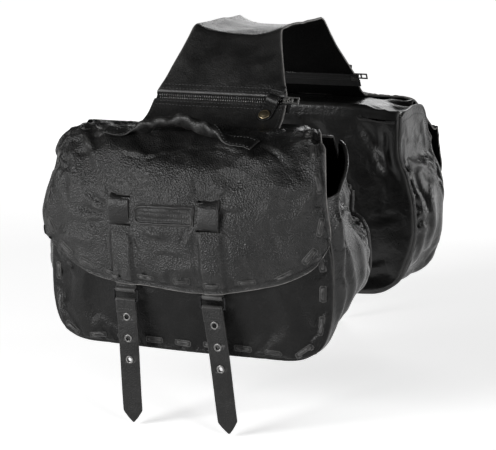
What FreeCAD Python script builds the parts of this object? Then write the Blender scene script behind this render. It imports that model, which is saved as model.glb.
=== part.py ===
import FreeCAD, Part
import math
import os

from FreeCAD import Vector

# A pair of leather throw-over saddlebags joined by a leather yoke. Millimetres, +Z up, +X forwards.
# The origin is the middle of the yoke's flat underside, which rests on the carrier or the seat.
# The right bag hangs on the -Y side, and the left bag is its mirror image.
# "Reach" is the distance outwards from the middle of the pair, so a right-hand point has y = -reach.

os.makedirs("parts", exist_ok=True)

# Leather and fits
leather = 2.5
thin_leather = 2.2
gap = 0.3

# Yoke
yoke_flat_half = 75.0
yoke_bend = 14.0
yoke_slope = math.radians(54.5)
yoke_top_half_length = 54.0
yoke_hem_half_length = 80.0
hem_reach = 127.0

# Zip that joins the yoke to each bag
zip_tape = 0.8
zip_hem_gap = 4.75
zip_pitch = 2.8
zip_half_length = 77.0
tooth_length = 2.8
tooth_width = 1.3
tooth_height = 2.4
slot_half = 0.4
slider_length = 9.0
slider_half_width = 3.4
slider_x = 80.0
tongue_gap = 1.15

# Bag body
back_reach = 96.0
front_reach = 229.0
bag_top = -106.0
bag_bottom = -348.0
bag_half_width = 170.0
front_top = -165.0
front_bulge = 34.0
widest_height = -245.0
shelf_reach = 172.0
shelf_bend = 6.0
shelf_join = -125.0
shelf_half_length = 147.5
side_outline = [(148, -106), (148, -165), (158, -195), (167, -228), (170, -262), (169, -300), (161, -328)]
corner_outline = [(146, -342), (126, -348), (90, -348), (45, -348)]

# Flap
flap_shift = -8.0
flap_path = [(175.5, -101.75), (205, -99.5), (232, -105), (252, -120), (264.5, -146), (270.5, -180)]
flap_path_end = [(272.5, -215), (272.5, -245), (271.5, -272)]
flap_top_half = 142.0
flap_hem_half = 177.0
flap_side_drop = 66.0

# Straps
strap_width = 24.0
strap_x = 52.0
ring_wire = 1.4
ring_top = -277.0
ring_bottom = -289.0
ring_reach = 264.2
loop_wall = 2.0
tail_tip = -430.0
eyelet_first = 19.0
eyelet_pitch = 24.5
eyelet_hole = 2.5

# Lacing
stitch_length = 15.0
stitch_width = 4.5
stitch_height = 1.2
stitch_pitch = 35.0


def at(x, reach, z):
    """A point of the right-hand bag."""
    return Vector(x, -reach, z)


def save(name, shape):
    """Writes one node."""
    if not shape.isValid():
        print("not valid:", name)
    shape.exportStep("parts/" + name + ".step")


def save_pair(name, shape):
    """Writes a right-hand node and its mirror image."""
    save("right_" + name, shape)
    save("left_" + name, shape.mirror(Vector(0, 0, 0), Vector(0, 1, 0)))


def smooth(t):
    """Rises from 0 to 1 with level ends."""
    t = min(1.0, max(0.0, t))
    return t * t * (3 - 2 * t)


def spline(points):
    """A smooth curve through 3-D points."""
    curve = Part.BSplineCurve()
    curve.interpolate(points)
    return curve


def normal_at(point, u, v):
    """The unit normal of a surface given as a function of u and v."""
    step = 1e-3
    du = point(min(1, u + step), v) - point(max(0, u - step), v)
    dv = point(u, min(1, v + step)) - point(u, max(0, v - step))
    return du.cross(dv).normalize()


def skin(point, outer, inner, columns, rows):
    """A closed solid between two offsets of the surface point(u, v)."""
    surfaces = []
    for offset in (outer, inner):
        grid = []
        for i in range(columns):
            u = i / (columns - 1)
            line = []
            for j in range(rows):
                v = j / (rows - 1)
                line.append(point(u, v) + normal_at(point, u, v) * offset)
            grid.append(line)
        surface = Part.BSplineSurface()
        surface.interpolate(grid)
        surfaces.append(surface)
    first, second = surfaces
    u0, u1, v0, v1 = first.bounds()
    p0, p1, q0, q1 = second.bounds()
    pairs = [
        (first.uIso(u0), second.uIso(p0)),
        (first.uIso(u1), second.uIso(p1)),
        (first.vIso(v0), second.vIso(q0)),
        (first.vIso(v1), second.vIso(q1)),
    ]
    faces = [first.toShape(), second.toShape()]
    faces += [Part.makeRuledSurface(a.toShape(), b.toShape()) for a, b in pairs]
    shell = Part.makeShell(faces)
    shell.sewShape()
    solid = Part.makeSolid(Part.makeShell(shell.Faces))
    if solid.Volume < 0:
        solid.reverse()
    return solid


def band(points, bend, low, high, x0, x1):
    """Leather strip from x0 to x1: the band between two offsets of a bent path of (reach, z) points."""
    count = len(points)
    steps = []
    for a, b in zip(points, points[1:]):
        length = math.hypot(b[0] - a[0], b[1] - a[1])
        steps.append(((b[0] - a[0]) / length, (b[1] - a[1]) / length))
    sides = []
    for offset in (low, high):
        edges = []
        start = (points[0][0] - steps[0][1] * offset, points[0][1] + steps[0][0] * offset)
        for i in range(1, count - 1):
            s, t = steps[i - 1], steps[i]
            turn = math.atan2(s[0] * t[1] - s[1] * t[0], s[0] * t[0] + s[1] * t[1])
            side = 1 if turn > 0 else -1
            run = bend * math.tan(abs(turn) / 2)
            px, pz = points[i]
            centre = (px - s[0] * run - s[1] * bend * side, pz - s[1] * run + s[0] * bend * side)
            radius = bend - offset * side
            half = abs(turn) / 2
            reach_to_corner = bend / math.cos(half)
            middle_dir = ((px - centre[0]) / reach_to_corner, (pz - centre[1]) / reach_to_corner)
            enter = (px - s[0] * run - s[1] * offset, pz - s[1] * run + s[0] * offset)
            leave = (px + t[0] * run - t[1] * offset, pz + t[1] * run + t[0] * offset)
            middle = (centre[0] + middle_dir[0] * radius, centre[1] + middle_dir[1] * radius)
            edges.append(Part.LineSegment(at(x0, *start), at(x0, *enter)).toShape())
            edges.append(Part.Arc(at(x0, *enter), at(x0, *middle), at(x0, *leave)).toShape())
            start = leave
        t = steps[-1]
        end = (points[-1][0] - t[1] * offset, points[-1][1] + t[0] * offset)
        edges.append(Part.LineSegment(at(x0, *start), at(x0, *end)).toShape())
        sides.append(edges)
    caps = []
    for index, which in ((0, 0), (-1, 1)):
        a = sides[0][index].Vertexes[which].Point
        b = sides[1][index].Vertexes[which].Point
        caps.append(Part.LineSegment(a, b).toShape())
    wire = Part.Wire(Part.__sortEdges__(sides[0] + sides[1] + caps))
    return Part.Face(wire).extrude(Vector(x1 - x0, 0, 0))


def plate(points, thickness, place, normal):
    """A flat plate from a list of 3-D corner points, extruded along its normal."""
    wire = Part.makePolygon(points + [points[0]])
    solid = Part.Face(wire).extrude(normal * thickness)
    solid.translate(place)
    return solid


def box(x0, x1, reach0, reach1, z0, z1):
    """A box between two reaches of the right-hand side."""
    return Part.makeBox(x1 - x0, reach1 - reach0, z1 - z0, at(x0, reach1, z0))


# ---- yoke -------------------------------------------------------------------------------------

down_slope = (math.cos(yoke_slope), -math.sin(yoke_slope))
hem_drop = (hem_reach - yoke_flat_half) * math.tan(yoke_slope)
hem_edge = (hem_reach, -hem_drop)


def on_zip(x, down, out):
    """A point in the zip's own plane: down the slope from the chain's centre, and out from the tape."""
    centre_down = zip_hem_gap + down
    reach = hem_edge[0] + down_slope[0] * centre_down - down_slope[1] * out
    z = hem_edge[1] + down_slope[1] * centre_down + down_slope[0] * out
    return at(x, reach, z)


zip_out = on_zip(0, 0, 1) - on_zip(0, 0, 0)


def zip_box(x0, x1, down0, down1, out0, out1):
    """A box lying in the zip's plane."""
    corner = on_zip(x0, down0, out0)
    base = [
        corner,
        on_zip(x1, down0, out0),
        on_zip(x1, down1, out0),
        on_zip(x0, down1, out0),
    ]
    return plate(base, out1 - out0, Vector(0, 0, 0), zip_out)


def make_yoke():
    """One leather sheet over the carrier, wider at the hems that carry the zips."""
    path = [(-hem_reach, -hem_drop), (-yoke_flat_half, 0), (yoke_flat_half, 0), hem_edge]
    sheet = band(path, yoke_bend, 0, leather, -100, 100)
    half = []
    for x, reach in (
        (yoke_hem_half_length + 2, hem_reach + 4),
        (yoke_top_half_length, yoke_flat_half),
        (yoke_top_half_length, -yoke_flat_half),
        (yoke_hem_half_length + 2, -hem_reach - 4),
    ):
        half.append((x, reach))
    outline = [at(x, reach, -120) for x, reach in half]
    outline += [at(-x, reach, -120) for x, reach in reversed(half)]
    return sheet.common(plate(outline, 140, Vector(0, 0, 0), Vector(0, 0, 1)))


# ---- zip --------------------------------------------------------------------------------------

tape_out = -0.7
tape_low = tape_out - zip_tape / 2
tape_high = tape_out + zip_tape / 2
tooth_out = tape_out - tooth_height / 2


def make_tape(side):
    """A zip tape beside one row of teeth: side -1 at the yoke's hem, side 1 sewn to the tongue."""
    inner = slot_half + tooth_length + 0.05
    if side < 0:
        return zip_box(-zip_half_length - 4, zip_half_length + 9, -inner - 1.9, -inner, tape_low, tape_high)
    return zip_box(-zip_half_length - 4, zip_half_length + 9, inner, inner + 11, tape_low, tape_high)


def make_teeth(side):
    """One row of zip teeth. The rows leave a narrow slot for the slider's neck."""
    teeth = []
    count = int(2 * zip_half_length / zip_pitch)
    for i in range(count):
        x = -zip_half_length + i * zip_pitch + (0.5 * zip_pitch if side > 0 else 0)
        near, far = slot_half, slot_half + tooth_length
        down0, down1 = (near, far) if side > 0 else (-far, -near)
        teeth.append(zip_box(x, x + tooth_width, down0, down1, tooth_out, tooth_out + tooth_height))
    return Part.makeCompound(teeth)


plate_out = tooth_out + tooth_height + 0.3
bridge_top = plate_out + 3.8


def make_slider():
    """Two plates joined by a neck in the slot, with the bridge that holds the puller."""
    x0, x1 = slider_x - slider_length / 2, slider_x + slider_length / 2
    half = slider_half_width
    top = zip_box(x0, x1, -half, half, plate_out, plate_out + 1.0)
    bottom = zip_box(x0, x1, -half, half, tooth_out - 1.3, tooth_out - 0.3)
    neck = zip_box(x0 + 3, x1, -0.3, 0.3, tooth_out - 0.5, plate_out + 0.2)
    bridge = zip_box(x0 + 1.7, x0 + 7.5, -0.8, 0.8, plate_out + 0.9, bridge_top)
    eye = zip_box(x0 + 2.9, x0 + 6.3, -1, 1, plate_out + 1.0, bridge_top - 0.8)
    body = top.fuse([bottom, neck, bridge.cut(eye)]).removeSplitter()
    return body


pin_x = slider_x - slider_length / 2 + 4.6
pin_out = plate_out + 2.0


def make_puller():
    """A flat metal pull with two windows. The bar at its inner end hangs in the slider's bridge."""
    x0 = pin_x - 0.6
    low, high = pin_out - 0.6, pin_out + 0.6
    blank = zip_box(x0, x0 + 16.4, -4.2, 4.2, low, high)
    first = zip_box(x0 + 1.2, x0 + 7.2, -2.7, 2.7, low - 1, high + 1)
    second = zip_box(x0 + 9.2, x0 + 14.6, -2.7, 2.7, low - 1, high + 1)
    return blank.cut(first).cut(second)


# ---- snap tab ---------------------------------------------------------------------------------

tab_x = 66.0
tab_half = 8.0
tab_heel = [(-4.0, 3.9), (-1.2, 5.5), (1.6, 5.5), (5.2, 4.0)]
tab_flat = 6.5
cap_radius = 6.8


def tongue_point(down):
    """The (reach, z) of the tongue's inner face, down the slope from its upper edge."""
    p = tongue_curve.value(tongue_curve.parameterAtDistance(down, tongue_curve.FirstParameter))
    return (-p.y, p.z)


tongue_start = on_zip(0, zip_hem_gap + tongue_gap, 0)
tongue_path = [
    (-tongue_start.y, tongue_start.z),
    (146.5, -94.5),
    (157.0, -101.0),
    (165.0, -104.4),
    (shelf_reach, -105.4),
]
tongue_curve = spline([at(0, r, z) for r, z in tongue_path])
tongue_length = tongue_curve.length()
tongue_top_half = 81.0
tongue_bottom_half = 84.0


def make_tongue():
    """The leather panel that runs from the zip down to the top of the bag."""

    def point(u, v):
        half = tongue_top_half + (tongue_bottom_half - tongue_top_half) * v
        reach, z = tongue_point(v * tongue_length)
        return at(half * (1 - 2 * u), reach, z)

    return skin(point, 0, leather, 3, 9)


def tongue_frame(down):
    """Position and outward direction of the tongue's inner face."""
    a, b = tongue_point(down - 0.5), tongue_point(down + 0.5)
    reach, z = (a[0] + b[0]) / 2, (a[1] + b[1]) / 2
    run = math.hypot(b[0] - a[0], b[1] - a[1])
    out = (-(b[1] - a[1]) / run, (b[0] - a[0]) / run)
    return (reach, z), out


snap_down = 18.5
(snap_reach, snap_z), snap_out = tongue_frame(snap_down)
snap_axis = Vector(0, -snap_out[0], snap_out[1])
snap_x = 61.0
tab_lift = 0.9


def on_snap(height):
    """A point on the snap's axis, at a height over the tongue's outer face."""
    return at(snap_x, snap_reach, snap_z) + snap_axis * (leather + height)


def tab_outline():
    """Plan of the tab: a strip that runs down and a little rearwards to a round end on the snap."""
    root = on_zip(tab_x + 4, -13, 0)
    tip = at(snap_x, snap_reach, snap_z)
    corners = [
        Vector(root.x - tab_half, root.y + 9, -160),
        Vector(root.x + tab_half, root.y + 9, -160),
        Vector(tip.x + tab_half, tip.y, -160),
        Vector(tip.x - tab_half, tip.y, -160),
    ]
    strip = plate(corners, 160, Vector(0, 0, 0), Vector(0, 0, 1))
    return strip.fuse(Part.makeCylinder(tab_half, 40, on_snap(-20), snap_axis))


def make_snap_tab_anchor():
    """The end of the snap tab that is sewn down on the yoke's hem."""
    patch = zip_box(tab_x - 20, tab_x + 20, -18, -10, leather + gap, leather + gap + thin_leather)
    return patch.common(tab_outline())


def make_snap_tab():
    """The free length of the tab. It arches over the zip and snaps to the tongue."""
    path = []
    for down, out in tab_heel:
        p = on_zip(0, down, out)
        path.append((-p.y, p.z))
    low = leather + tab_lift
    for along in (-tab_flat, tab_flat):
        reach = snap_reach + snap_out[0] * low + snap_out[1] * along
        path.append((reach, snap_z + snap_out[1] * low - snap_out[0] * along))
    (reach, z), out = tongue_frame(snap_down + 10.5)
    path.append((reach + out[0] * low, z + out[1] * low))
    strip = band(path, 3.0, 0, thin_leather, tab_x - 20, tab_x + 20)
    hole = Part.makeCylinder(2.6, 40, on_snap(-20), snap_axis)
    return strip.common(tab_outline()).cut(hole)


def make_snap_cap():
    """Domed press-stud cap riveted through the tab, with its socket underneath."""
    cap = Part.makeCylinder(cap_radius, 1.2, on_snap(tab_lift + thin_leather + 0.1), snap_axis)
    dome = Part.makeCylinder(cap_radius - 1.2, 0.8, on_snap(tab_lift + thin_leather + 1.2), snap_axis)
    stem = Part.makeCylinder(2.2, thin_leather + 0.5, on_snap(tab_lift - 0.2), snap_axis)
    socket = Part.makeCylinder(4.2, 0.35, on_snap(tab_lift - 0.45), snap_axis)
    return cap.fuse([dome, stem, socket]).removeSplitter()


def make_snap_post():
    """The lower half of the press stud, riveted to the tongue."""
    return Part.makeCylinder(4.0, 0.25, on_snap(0.12), snap_axis)


# ---- bag body ---------------------------------------------------------------------------------

outline_half = side_outline + corner_outline
outline_points = [(x, z) for x, z in outline_half] + [(0, bag_bottom)]
outline_points += [(-x, z) for x, z in reversed(outline_half)]
outline_curve = spline([Vector(x, 0, z) for x, z in outline_points])
outline_length = outline_curve.length()


def outline_at(distance):
    """A point of the bag's outline, as a distance along it from the forward top corner."""
    p = outline_curve.value(outline_curve.parameterAtDistance(distance, outline_curve.FirstParameter))
    return p.x, p.z


def panel_reach(x, z):
    """Reach of the front panel's outer face, which bulges in the middle."""
    across = max(0.0, 1 - (x / bag_half_width) ** 2)
    span, loss = (103.0, 0.55) if z < widest_height else (80.0, 0.2)
    along = 1 - loss * ((z - widest_height) / span) ** 2
    return front_reach + front_bulge * across * along


def outline_prism(reach0, reach1):
    """The bag's outline as a solid between two reaches."""
    edges = [outline_curve.toShape()]
    a, b = edges[0].Vertexes[0].Point, edges[0].Vertexes[-1].Point
    edges.append(Part.LineSegment(b, a).toShape())
    solid = Part.Face(Part.Wire(edges)).extrude(Vector(0, -(reach1 - reach0), 0))
    solid.translate(Vector(0, -reach0, 0))
    return solid


def make_front_panel():
    """The bulging outer panel. Its upper edge is the front of the mouth."""

    def point(u, v):
        x = 176 - 352 * u
        z = front_top + (bag_bottom - 4 - front_top) * v
        return at(x, panel_reach(x, z), z)

    sheet = skin(point, 0, -leather, 13, 9)
    return sheet.common(outline_prism(front_reach - 20, front_reach + 60))


def gusset_reach(x, z):
    """Where the gusset's front edge stops, just behind the front panel."""
    return panel_reach(x, z) - leather - gap - 0.2


def make_gusset():
    """The U-shaped strip that forms the ends and the bottom. Its rims slope down to the front panel."""
    back = back_reach + leather + gap

    def point(u, v):
        rim = smooth((v - 0.45) / 0.55)
        skip = 6.5 + 15.0 * smooth(1 - v / 0.15) + 53.5 * rim
        x, z = outline_at(skip + (outline_length - 2 * skip) * (1 - u))
        reach = back + (gusset_reach(x, z) - back) * v
        side = min(1.0, abs(x) / 140.0) ** 3
        x += math.copysign(7.0 * math.sin(math.pi * v) * side, x)
        return at(x, reach, z)

    return skin(point, 0, -leather, 25, 7)


def make_back_panel():
    """The flat inner panel. It turns over at the top into the shelf that carries the tongue."""
    wall = outline_prism(back_reach, back_reach + leather)
    wall = wall.cut(box(-200, 200, back_reach - 5, back_reach + 10, shelf_join, 0))
    path = [(back_reach, shelf_join - 1), (back_reach, bag_top), (shelf_reach, bag_top)]
    shelf = band(path, shelf_bend, -leather, 0, -shelf_half_length, shelf_half_length)
    return wall.fuse(shelf).removeSplitter()


# ---- flap -------------------------------------------------------------------------------------

flap_curve = spline([at(0, r, z) for r, z in flap_path + flap_path_end])
flap_first = flap_curve.FirstParameter
flap_span = flap_curve.length()


def flap_at(distance):
    """The (reach, z) of the flap's outer face on its middle line."""
    p = flap_curve.value(flap_curve.parameterAtDistance(min(distance, flap_span), flap_first))
    return -p.y, p.z


def flap_scale(x):
    """The flap curves back towards its sides."""
    return 1 - 0.75 * (x / flap_hem_half) ** 2


def flap_outer(x, reach, z):
    """A point of the flap's outer face, x from the flap's own middle."""
    if reach > front_reach:
        reach = front_reach + (reach - front_reach) * flap_scale(x)
    return at(x + flap_shift, reach, z)


def flap_reach(x, z):
    """Reach of the flap's outer face at a height on its front."""
    low, high = 60.0, flap_span
    for _ in range(30):
        middle = (low + high) / 2
        if flap_at(middle)[1] > z:
            low = middle
        else:
            high = middle
    reach = flap_at(low)[0]
    return front_reach + (reach - front_reach) * flap_scale(x)


def flap_point(u, v):
    """The flap's outer face: v runs from the hinge to the hem, u from the front end to the rear."""
    side = 1 - 2 * u
    span = flap_span - flap_side_drop * side ** 4
    reach, z = flap_at(v * span)
    x = side * (flap_top_half + (flap_hem_half - flap_top_half) * smooth(v * 1.1))
    return flap_outer(x, reach, z)


slit_bands = [(-174.0, -159.5), (-216.5, -200.5)]


def make_flap():
    """The weather flap: hinged on the shelf, over the front and down to a curved hem."""
    sheet = skin(flap_point, 0, -leather, 17, 13)
    for centre in (-strap_x, strap_x):
        for low, high in slit_bands:
            half = strap_width / 2 + 0.8
            x = centre + flap_shift
            sheet = sheet.cut(box(x - half, x + half, 240, 290, low, high))
    return sheet


def make_handle():
    """Carrying handle: a strap arched over the top of the flap, its ends sewn down."""
    half, width, base, rise, thick = 89.0, 26.0, -99.0, 18.5, 3.0

    def point(u, v):
        x = half * (1 - 2 * u)
        lift = smooth((half - 16 - abs(x)) / 38.0)
        return at(x + flap_shift, 211 + width * v, base + rise * lift)

    return skin(point, 0, thick, 19, 3)


def make_badge_strip():
    """Plain embossed strip between the two straps."""

    def point(u, v):
        x = 38.5 - 77 * u
        z = -178 - 21.5 * v
        return at(x + flap_shift, flap_reach(x, z), z)

    return skin(point, gap, gap + 1.6, 7, 3)


def lace_stitch(centre, along, outward):
    """One flat stitch of lace."""
    across = outward.cross(along).normalize()
    along = across.cross(outward).normalize()
    half_l, half_w = along * (stitch_length / 2), across * (stitch_width / 2)
    corners = [centre - half_l - half_w, centre + half_l - half_w]
    corners += [centre + half_l + half_w, centre - half_l + half_w]
    return plate(corners, stitch_height, outward * 0.6, outward)


def lace_along(route, surface_normal, pitch):
    """Stitches at an even pitch along a route given as a dense list of points."""
    stitches = []
    travelled, wanted = 0.0, pitch / 2
    for a, b in zip(route, route[1:]):
        step = (b - a).Length
        if travelled + step >= wanted:
            middle = a + (b - a) * ((wanted - travelled) / step)
            stitches.append(lace_stitch(middle, (b - a).normalize(), surface_normal(middle)))
            wanted += pitch
        travelled += step
    return Part.makeCompound(stitches)


def make_flap_lacing():
    """Lace stitches round the flap's side edges and hem."""
    route, normals = [], []
    for i in range(241):
        angle = math.pi * i / 240
        c, s = math.cos(angle), math.sin(angle)
        side = -0.953 * math.copysign(abs(c) ** 0.5, c)
        v = 0.40 + 0.565 * abs(s) ** 0.5
        u = (1 - side) / 2
        route.append(flap_point(u, v))
        normals.append(normal_at(flap_point, u, v))

    def outward(p):
        nearest = min(range(len(route)), key=lambda i: (route[i] - p).Length)
        return normals[nearest]

    return lace_along(route, outward, stitch_pitch)


def panel_normal(p):
    """Outward normal of the front panel at a point near it."""
    x, z = p.x, p.z
    dx = panel_reach(x + 0.5, z) - panel_reach(x - 0.5, z)
    dz = panel_reach(x, z + 0.5) - panel_reach(x, z - 0.5)
    return Vector(-dx, -1, -dz).normalize()


def make_body_lacing():
    """Lace stitches round the front panel, a little inside its edge."""
    route = []
    inset = 10.0
    steps = 300
    for i in range(steps + 1):
        distance = 75 + (outline_length - 150) * i / steps
        x0, z0 = outline_at(distance - 0.5)
        x1, z1 = outline_at(distance + 0.5)
        run = math.hypot(x1 - x0, z1 - z0)
        x = (x0 + x1) / 2 + (z1 - z0) / run * inset
        z = (z0 + z1) / 2 - (x1 - x0) / run * inset
        route.append(at(x, panel_reach(x, z), z))
    return lace_along(route, panel_normal, stitch_pitch)


# ---- straps, rings and tails ------------------------------------------------------------------

loop_hole = ring_wire + 0.5
loop_outer = loop_hole + loop_wall
strap_face = ring_reach - 1.1


def make_flap_strap(centre):
    """Strap sewn into the upper slit, out over the flap, in at the lower slit and down to its ring."""
    x0 = centre + flap_shift - strap_width / 2
    x1 = x0 + strap_width
    outside = 271.3
    path = [
        (strap_face, -162.0),
        (strap_face + 1.2, -164.5),
        (outside, -172.5),
        (outside, -201.5),
        (strap_face, -213.0),
        (strap_face, ring_top),
    ]
    run = band(path, 2.6, -thin_leather / 2, thin_leather / 2, x0, x1)
    axis = Vector(1, 0, 0)
    middle = at(x0, ring_reach, ring_top)
    eye = Part.makeCylinder(loop_outer, strap_width, middle, axis)
    hole = Part.makeCylinder(loop_hole, strap_width, middle, axis)
    return run.fuse(eye).cut(hole).removeSplitter()


def make_ring(centre):
    """Rectangular wire ring that joins a flap strap to its tail."""
    x = centre + flap_shift
    half = strap_width / 2 + 0.8 + ring_wire
    parts = []
    for z in (ring_top, ring_bottom):
        parts.append(Part.makeCylinder(ring_wire, 2 * half, at(x - half, ring_reach, z), Vector(1, 0, 0)))
    for end in (-half, half):
        foot = at(x + end, ring_reach, ring_bottom)
        parts.append(Part.makeCylinder(ring_wire, ring_top - ring_bottom, foot, Vector(0, 0, 1)))
        for z in (ring_top, ring_bottom):
            parts.append(Part.makeSphere(ring_wire, at(x + end, ring_reach, z)))
    return parts[0].fuse(parts[1:]).removeSplitter()


tail_half = 1.2


def eyelet_heights():
    """Heights of the three eyelets of a tail."""
    return [ring_bottom - eyelet_first - i * eyelet_pitch for i in range(3)]


def make_tail(centre):
    """Hanging strap with a pointed end, looped over the lower bar of its ring."""
    x = centre + flap_shift
    half = strap_width / 2
    face = [
        at(x - half, ring_reach - tail_half, ring_bottom),
        at(x + half, ring_reach - tail_half, ring_bottom),
        at(x + half, ring_reach - tail_half, tail_tip + 13),
        at(x, ring_reach - tail_half, tail_tip),
        at(x - half, ring_reach - tail_half, tail_tip + 13),
    ]
    blade = plate(face, 2 * tail_half, Vector(0, 0, 0), Vector(0, -1, 0))
    fold = box(x - half, x + half, ring_reach, ring_reach + tail_half + 1.5, ring_bottom - 13, ring_bottom)
    middle = at(x - half, ring_reach, ring_bottom)
    axis = Vector(1, 0, 0)
    eye = Part.makeCylinder(loop_outer, strap_width, middle, axis)
    hole = Part.makeCylinder(loop_hole, strap_width, middle, axis)
    tail = blade.fuse([fold, eye]).cut(hole)
    for z in eyelet_heights():
        bore = Part.makeCylinder(3.4, 20, at(x, ring_reach - 10, z), Vector(0, -1, 0))
        tail = tail.cut(bore)
    return tail.removeSplitter()


def make_eyelets(centre):
    """The three metal eyelets of a tail."""
    x = centre + flap_shift
    rings = []
    rim_radius, rim = 5.0, 0.6
    for z in eyelet_heights():
        reach = ring_reach - tail_half - rim - 0.05
        depth = 2 * (tail_half + rim + 0.05)
        barrel = Part.makeCylinder(3.3, depth, at(x, reach, z), Vector(0, -1, 0))
        back = Part.makeCylinder(rim_radius, rim, at(x, reach, z), Vector(0, -1, 0))
        front = Part.makeCylinder(rim_radius, rim, at(x, reach + depth - rim, z), Vector(0, -1, 0))
        hole = Part.makeCylinder(eyelet_hole, depth + 2, at(x, reach - 1, z), Vector(0, -1, 0))
        rings.append(barrel.fuse([back, front]).cut(hole).removeSplitter())
    return Part.makeCompound(rings)


closure_z = -258.0


def make_closure(part):
    """Press studs hidden behind the straps: posts on the front panel, or sockets on the straps."""
    studs = []
    for centre in (-strap_x, strap_x):
        x = centre + flap_shift
        wall = max(panel_reach(x - 5, closure_z), panel_reach(x + 5, closure_z))
        back = strap_face - thin_leather / 2
        if part == "post":
            studs.append(Part.makeCylinder(4.0, 0.25, at(x, wall + 0.05, closure_z), Vector(0, -1, 0)))
        else:
            studs.append(Part.makeCylinder(4.5, 0.3, at(x, back - 0.35, closure_z), Vector(0, -1, 0)))
    return Part.makeCompound(studs)


save("yoke", make_yoke())
save_pair("zip_upper_tape", make_tape(-1))
save_pair("zip_lower_tape", make_tape(1))
save_pair("zip_upper_teeth", make_teeth(-1))
save_pair("zip_lower_teeth", make_teeth(1))
save_pair("zip_slider", make_slider())
save_pair("zip_puller", make_puller())
save_pair("tongue", make_tongue())
save_pair("snap_tab_anchor", make_snap_tab_anchor())
save_pair("snap_tab", make_snap_tab())
save_pair("snap_cap", make_snap_cap())
save_pair("snap_post", make_snap_post())
save_pair("back_panel", make_back_panel())
save_pair("gusset", make_gusset())
save_pair("front_panel", make_front_panel())
save_pair("body_lacing", make_body_lacing())
save_pair("flap", make_flap())
save_pair("handle", make_handle())
save_pair("badge_strip", make_badge_strip())
save_pair("flap_lacing", make_flap_lacing())
save_pair("closure_posts", make_closure("post"))
save_pair("closure_sockets", make_closure("socket"))
for end, centre in (("front", strap_x), ("rear", -strap_x)):
    save_pair(end + "_flap_strap", make_flap_strap(centre))
    save_pair(end + "_ring", make_ring(centre))
    save_pair(end + "_tail", make_tail(centre))
    save_pair(end + "_tail_eyelets", make_eyelets(centre))
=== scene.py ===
import math

import bmesh
import bpy
import numpy as np
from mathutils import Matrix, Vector
from mathutils.kdtree import KDTree


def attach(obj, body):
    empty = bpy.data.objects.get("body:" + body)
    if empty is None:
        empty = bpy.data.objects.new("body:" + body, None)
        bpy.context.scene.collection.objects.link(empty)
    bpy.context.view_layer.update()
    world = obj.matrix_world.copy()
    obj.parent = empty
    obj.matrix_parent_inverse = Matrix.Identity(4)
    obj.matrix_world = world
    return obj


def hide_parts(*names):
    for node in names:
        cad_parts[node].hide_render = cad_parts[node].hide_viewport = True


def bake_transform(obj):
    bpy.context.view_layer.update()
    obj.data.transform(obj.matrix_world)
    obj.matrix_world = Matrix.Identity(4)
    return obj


# Looks for the pair of leather throw-over saddlebags. Shapes are worked out in millimetres as
# (x, reach, z), where reach is the distance outwards from the middle of the pair, and placed in the
# row frame in metres: the right bag is at -Y and the left bag, its mirror image, at +Y.

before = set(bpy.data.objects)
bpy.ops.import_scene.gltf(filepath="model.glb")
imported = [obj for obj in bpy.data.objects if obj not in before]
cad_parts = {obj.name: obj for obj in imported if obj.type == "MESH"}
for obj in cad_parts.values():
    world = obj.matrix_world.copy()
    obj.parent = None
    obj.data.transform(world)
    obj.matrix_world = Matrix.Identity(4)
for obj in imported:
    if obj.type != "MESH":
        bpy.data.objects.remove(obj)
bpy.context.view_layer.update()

SIDES = (("right", -1.0), ("left", 1.0))
scene = bpy.context.scene


# ---- numbers shared with the CAD --------------------------------------------------------------

LEATHER = 2.5
THIN = 2.2
GAP = 0.3
SLOPE = math.radians(54.5)
FLAT_HALF = 75.0
HEM_REACH = 127.0
HEM_Z = -(HEM_REACH - FLAT_HALF) * math.tan(SLOPE)
HEM_GAP = 4.75
ZIP_HALF = 77.0
ZIP_PITCH = 2.8
BACK_REACH = 96.0
FRONT_REACH = 229.0
BAG_TOP = -106.0
BAG_BOTTOM = -348.0
FLAP_SHIFT = -8.0
STRAP_CENTRES = {"rear": -52.0, "front": 52.0}
STRAP_WIDTH = 24.0
RING_TOP = -277.0
RING_BOTTOM = -289.0
RING_REACH = 264.2
TAIL_TIP = -430.0
SNAP_X = 61.0
SNAP_DOWN = 18.5
TAB_HALF = 8.0
FLOOR_Z = -434.0

X_AXIS, Y_AXIS, Z_AXIS = np.eye(3)


# ---- small maths ------------------------------------------------------------------------------

def smooth(t):
    """0 up to t = 0, 1 from t = 1, and a smooth step between."""
    t = np.clip(t, 0.0, 1.0)
    return t * t * (3 - 2 * t)


def bump(t):
    """1 at 0, falling to 0 at 1 and -1."""
    return smooth(1 - np.abs(t))


def bell(t):
    """1 at 0, falling away to both sides."""
    return np.exp(-t ** 2)


def signed_power(x, power):
    """A power of the size of x, with the sign of x."""
    return np.sign(x) * np.abs(x) ** power


def around_once(count):
    """Even angles round a full turn."""
    return np.linspace(0, 2 * math.pi, count, endpoint=False)


def noise(points, size, seed):
    """Smooth noise from -1 to 1 with lumps of about size millimetres."""
    table = np.random.RandomState(seed).uniform(-1, 1, (32, 32, 32))
    q = np.asarray(points, float) / size + 100.0
    i = np.floor(q).astype(int)
    f = q - i
    f = f * f * (3 - 2 * f)
    total = 0.0
    for corner in range(8):
        step = np.array([corner & 1, corner >> 1 & 1, corner >> 2 & 1])
        weight = np.prod(np.where(step == 1, f, 1 - f), axis=-1)
        j = (i + step) % 32
        total = total + weight * table[j[..., 0], j[..., 1], j[..., 2]]
    return total


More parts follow.
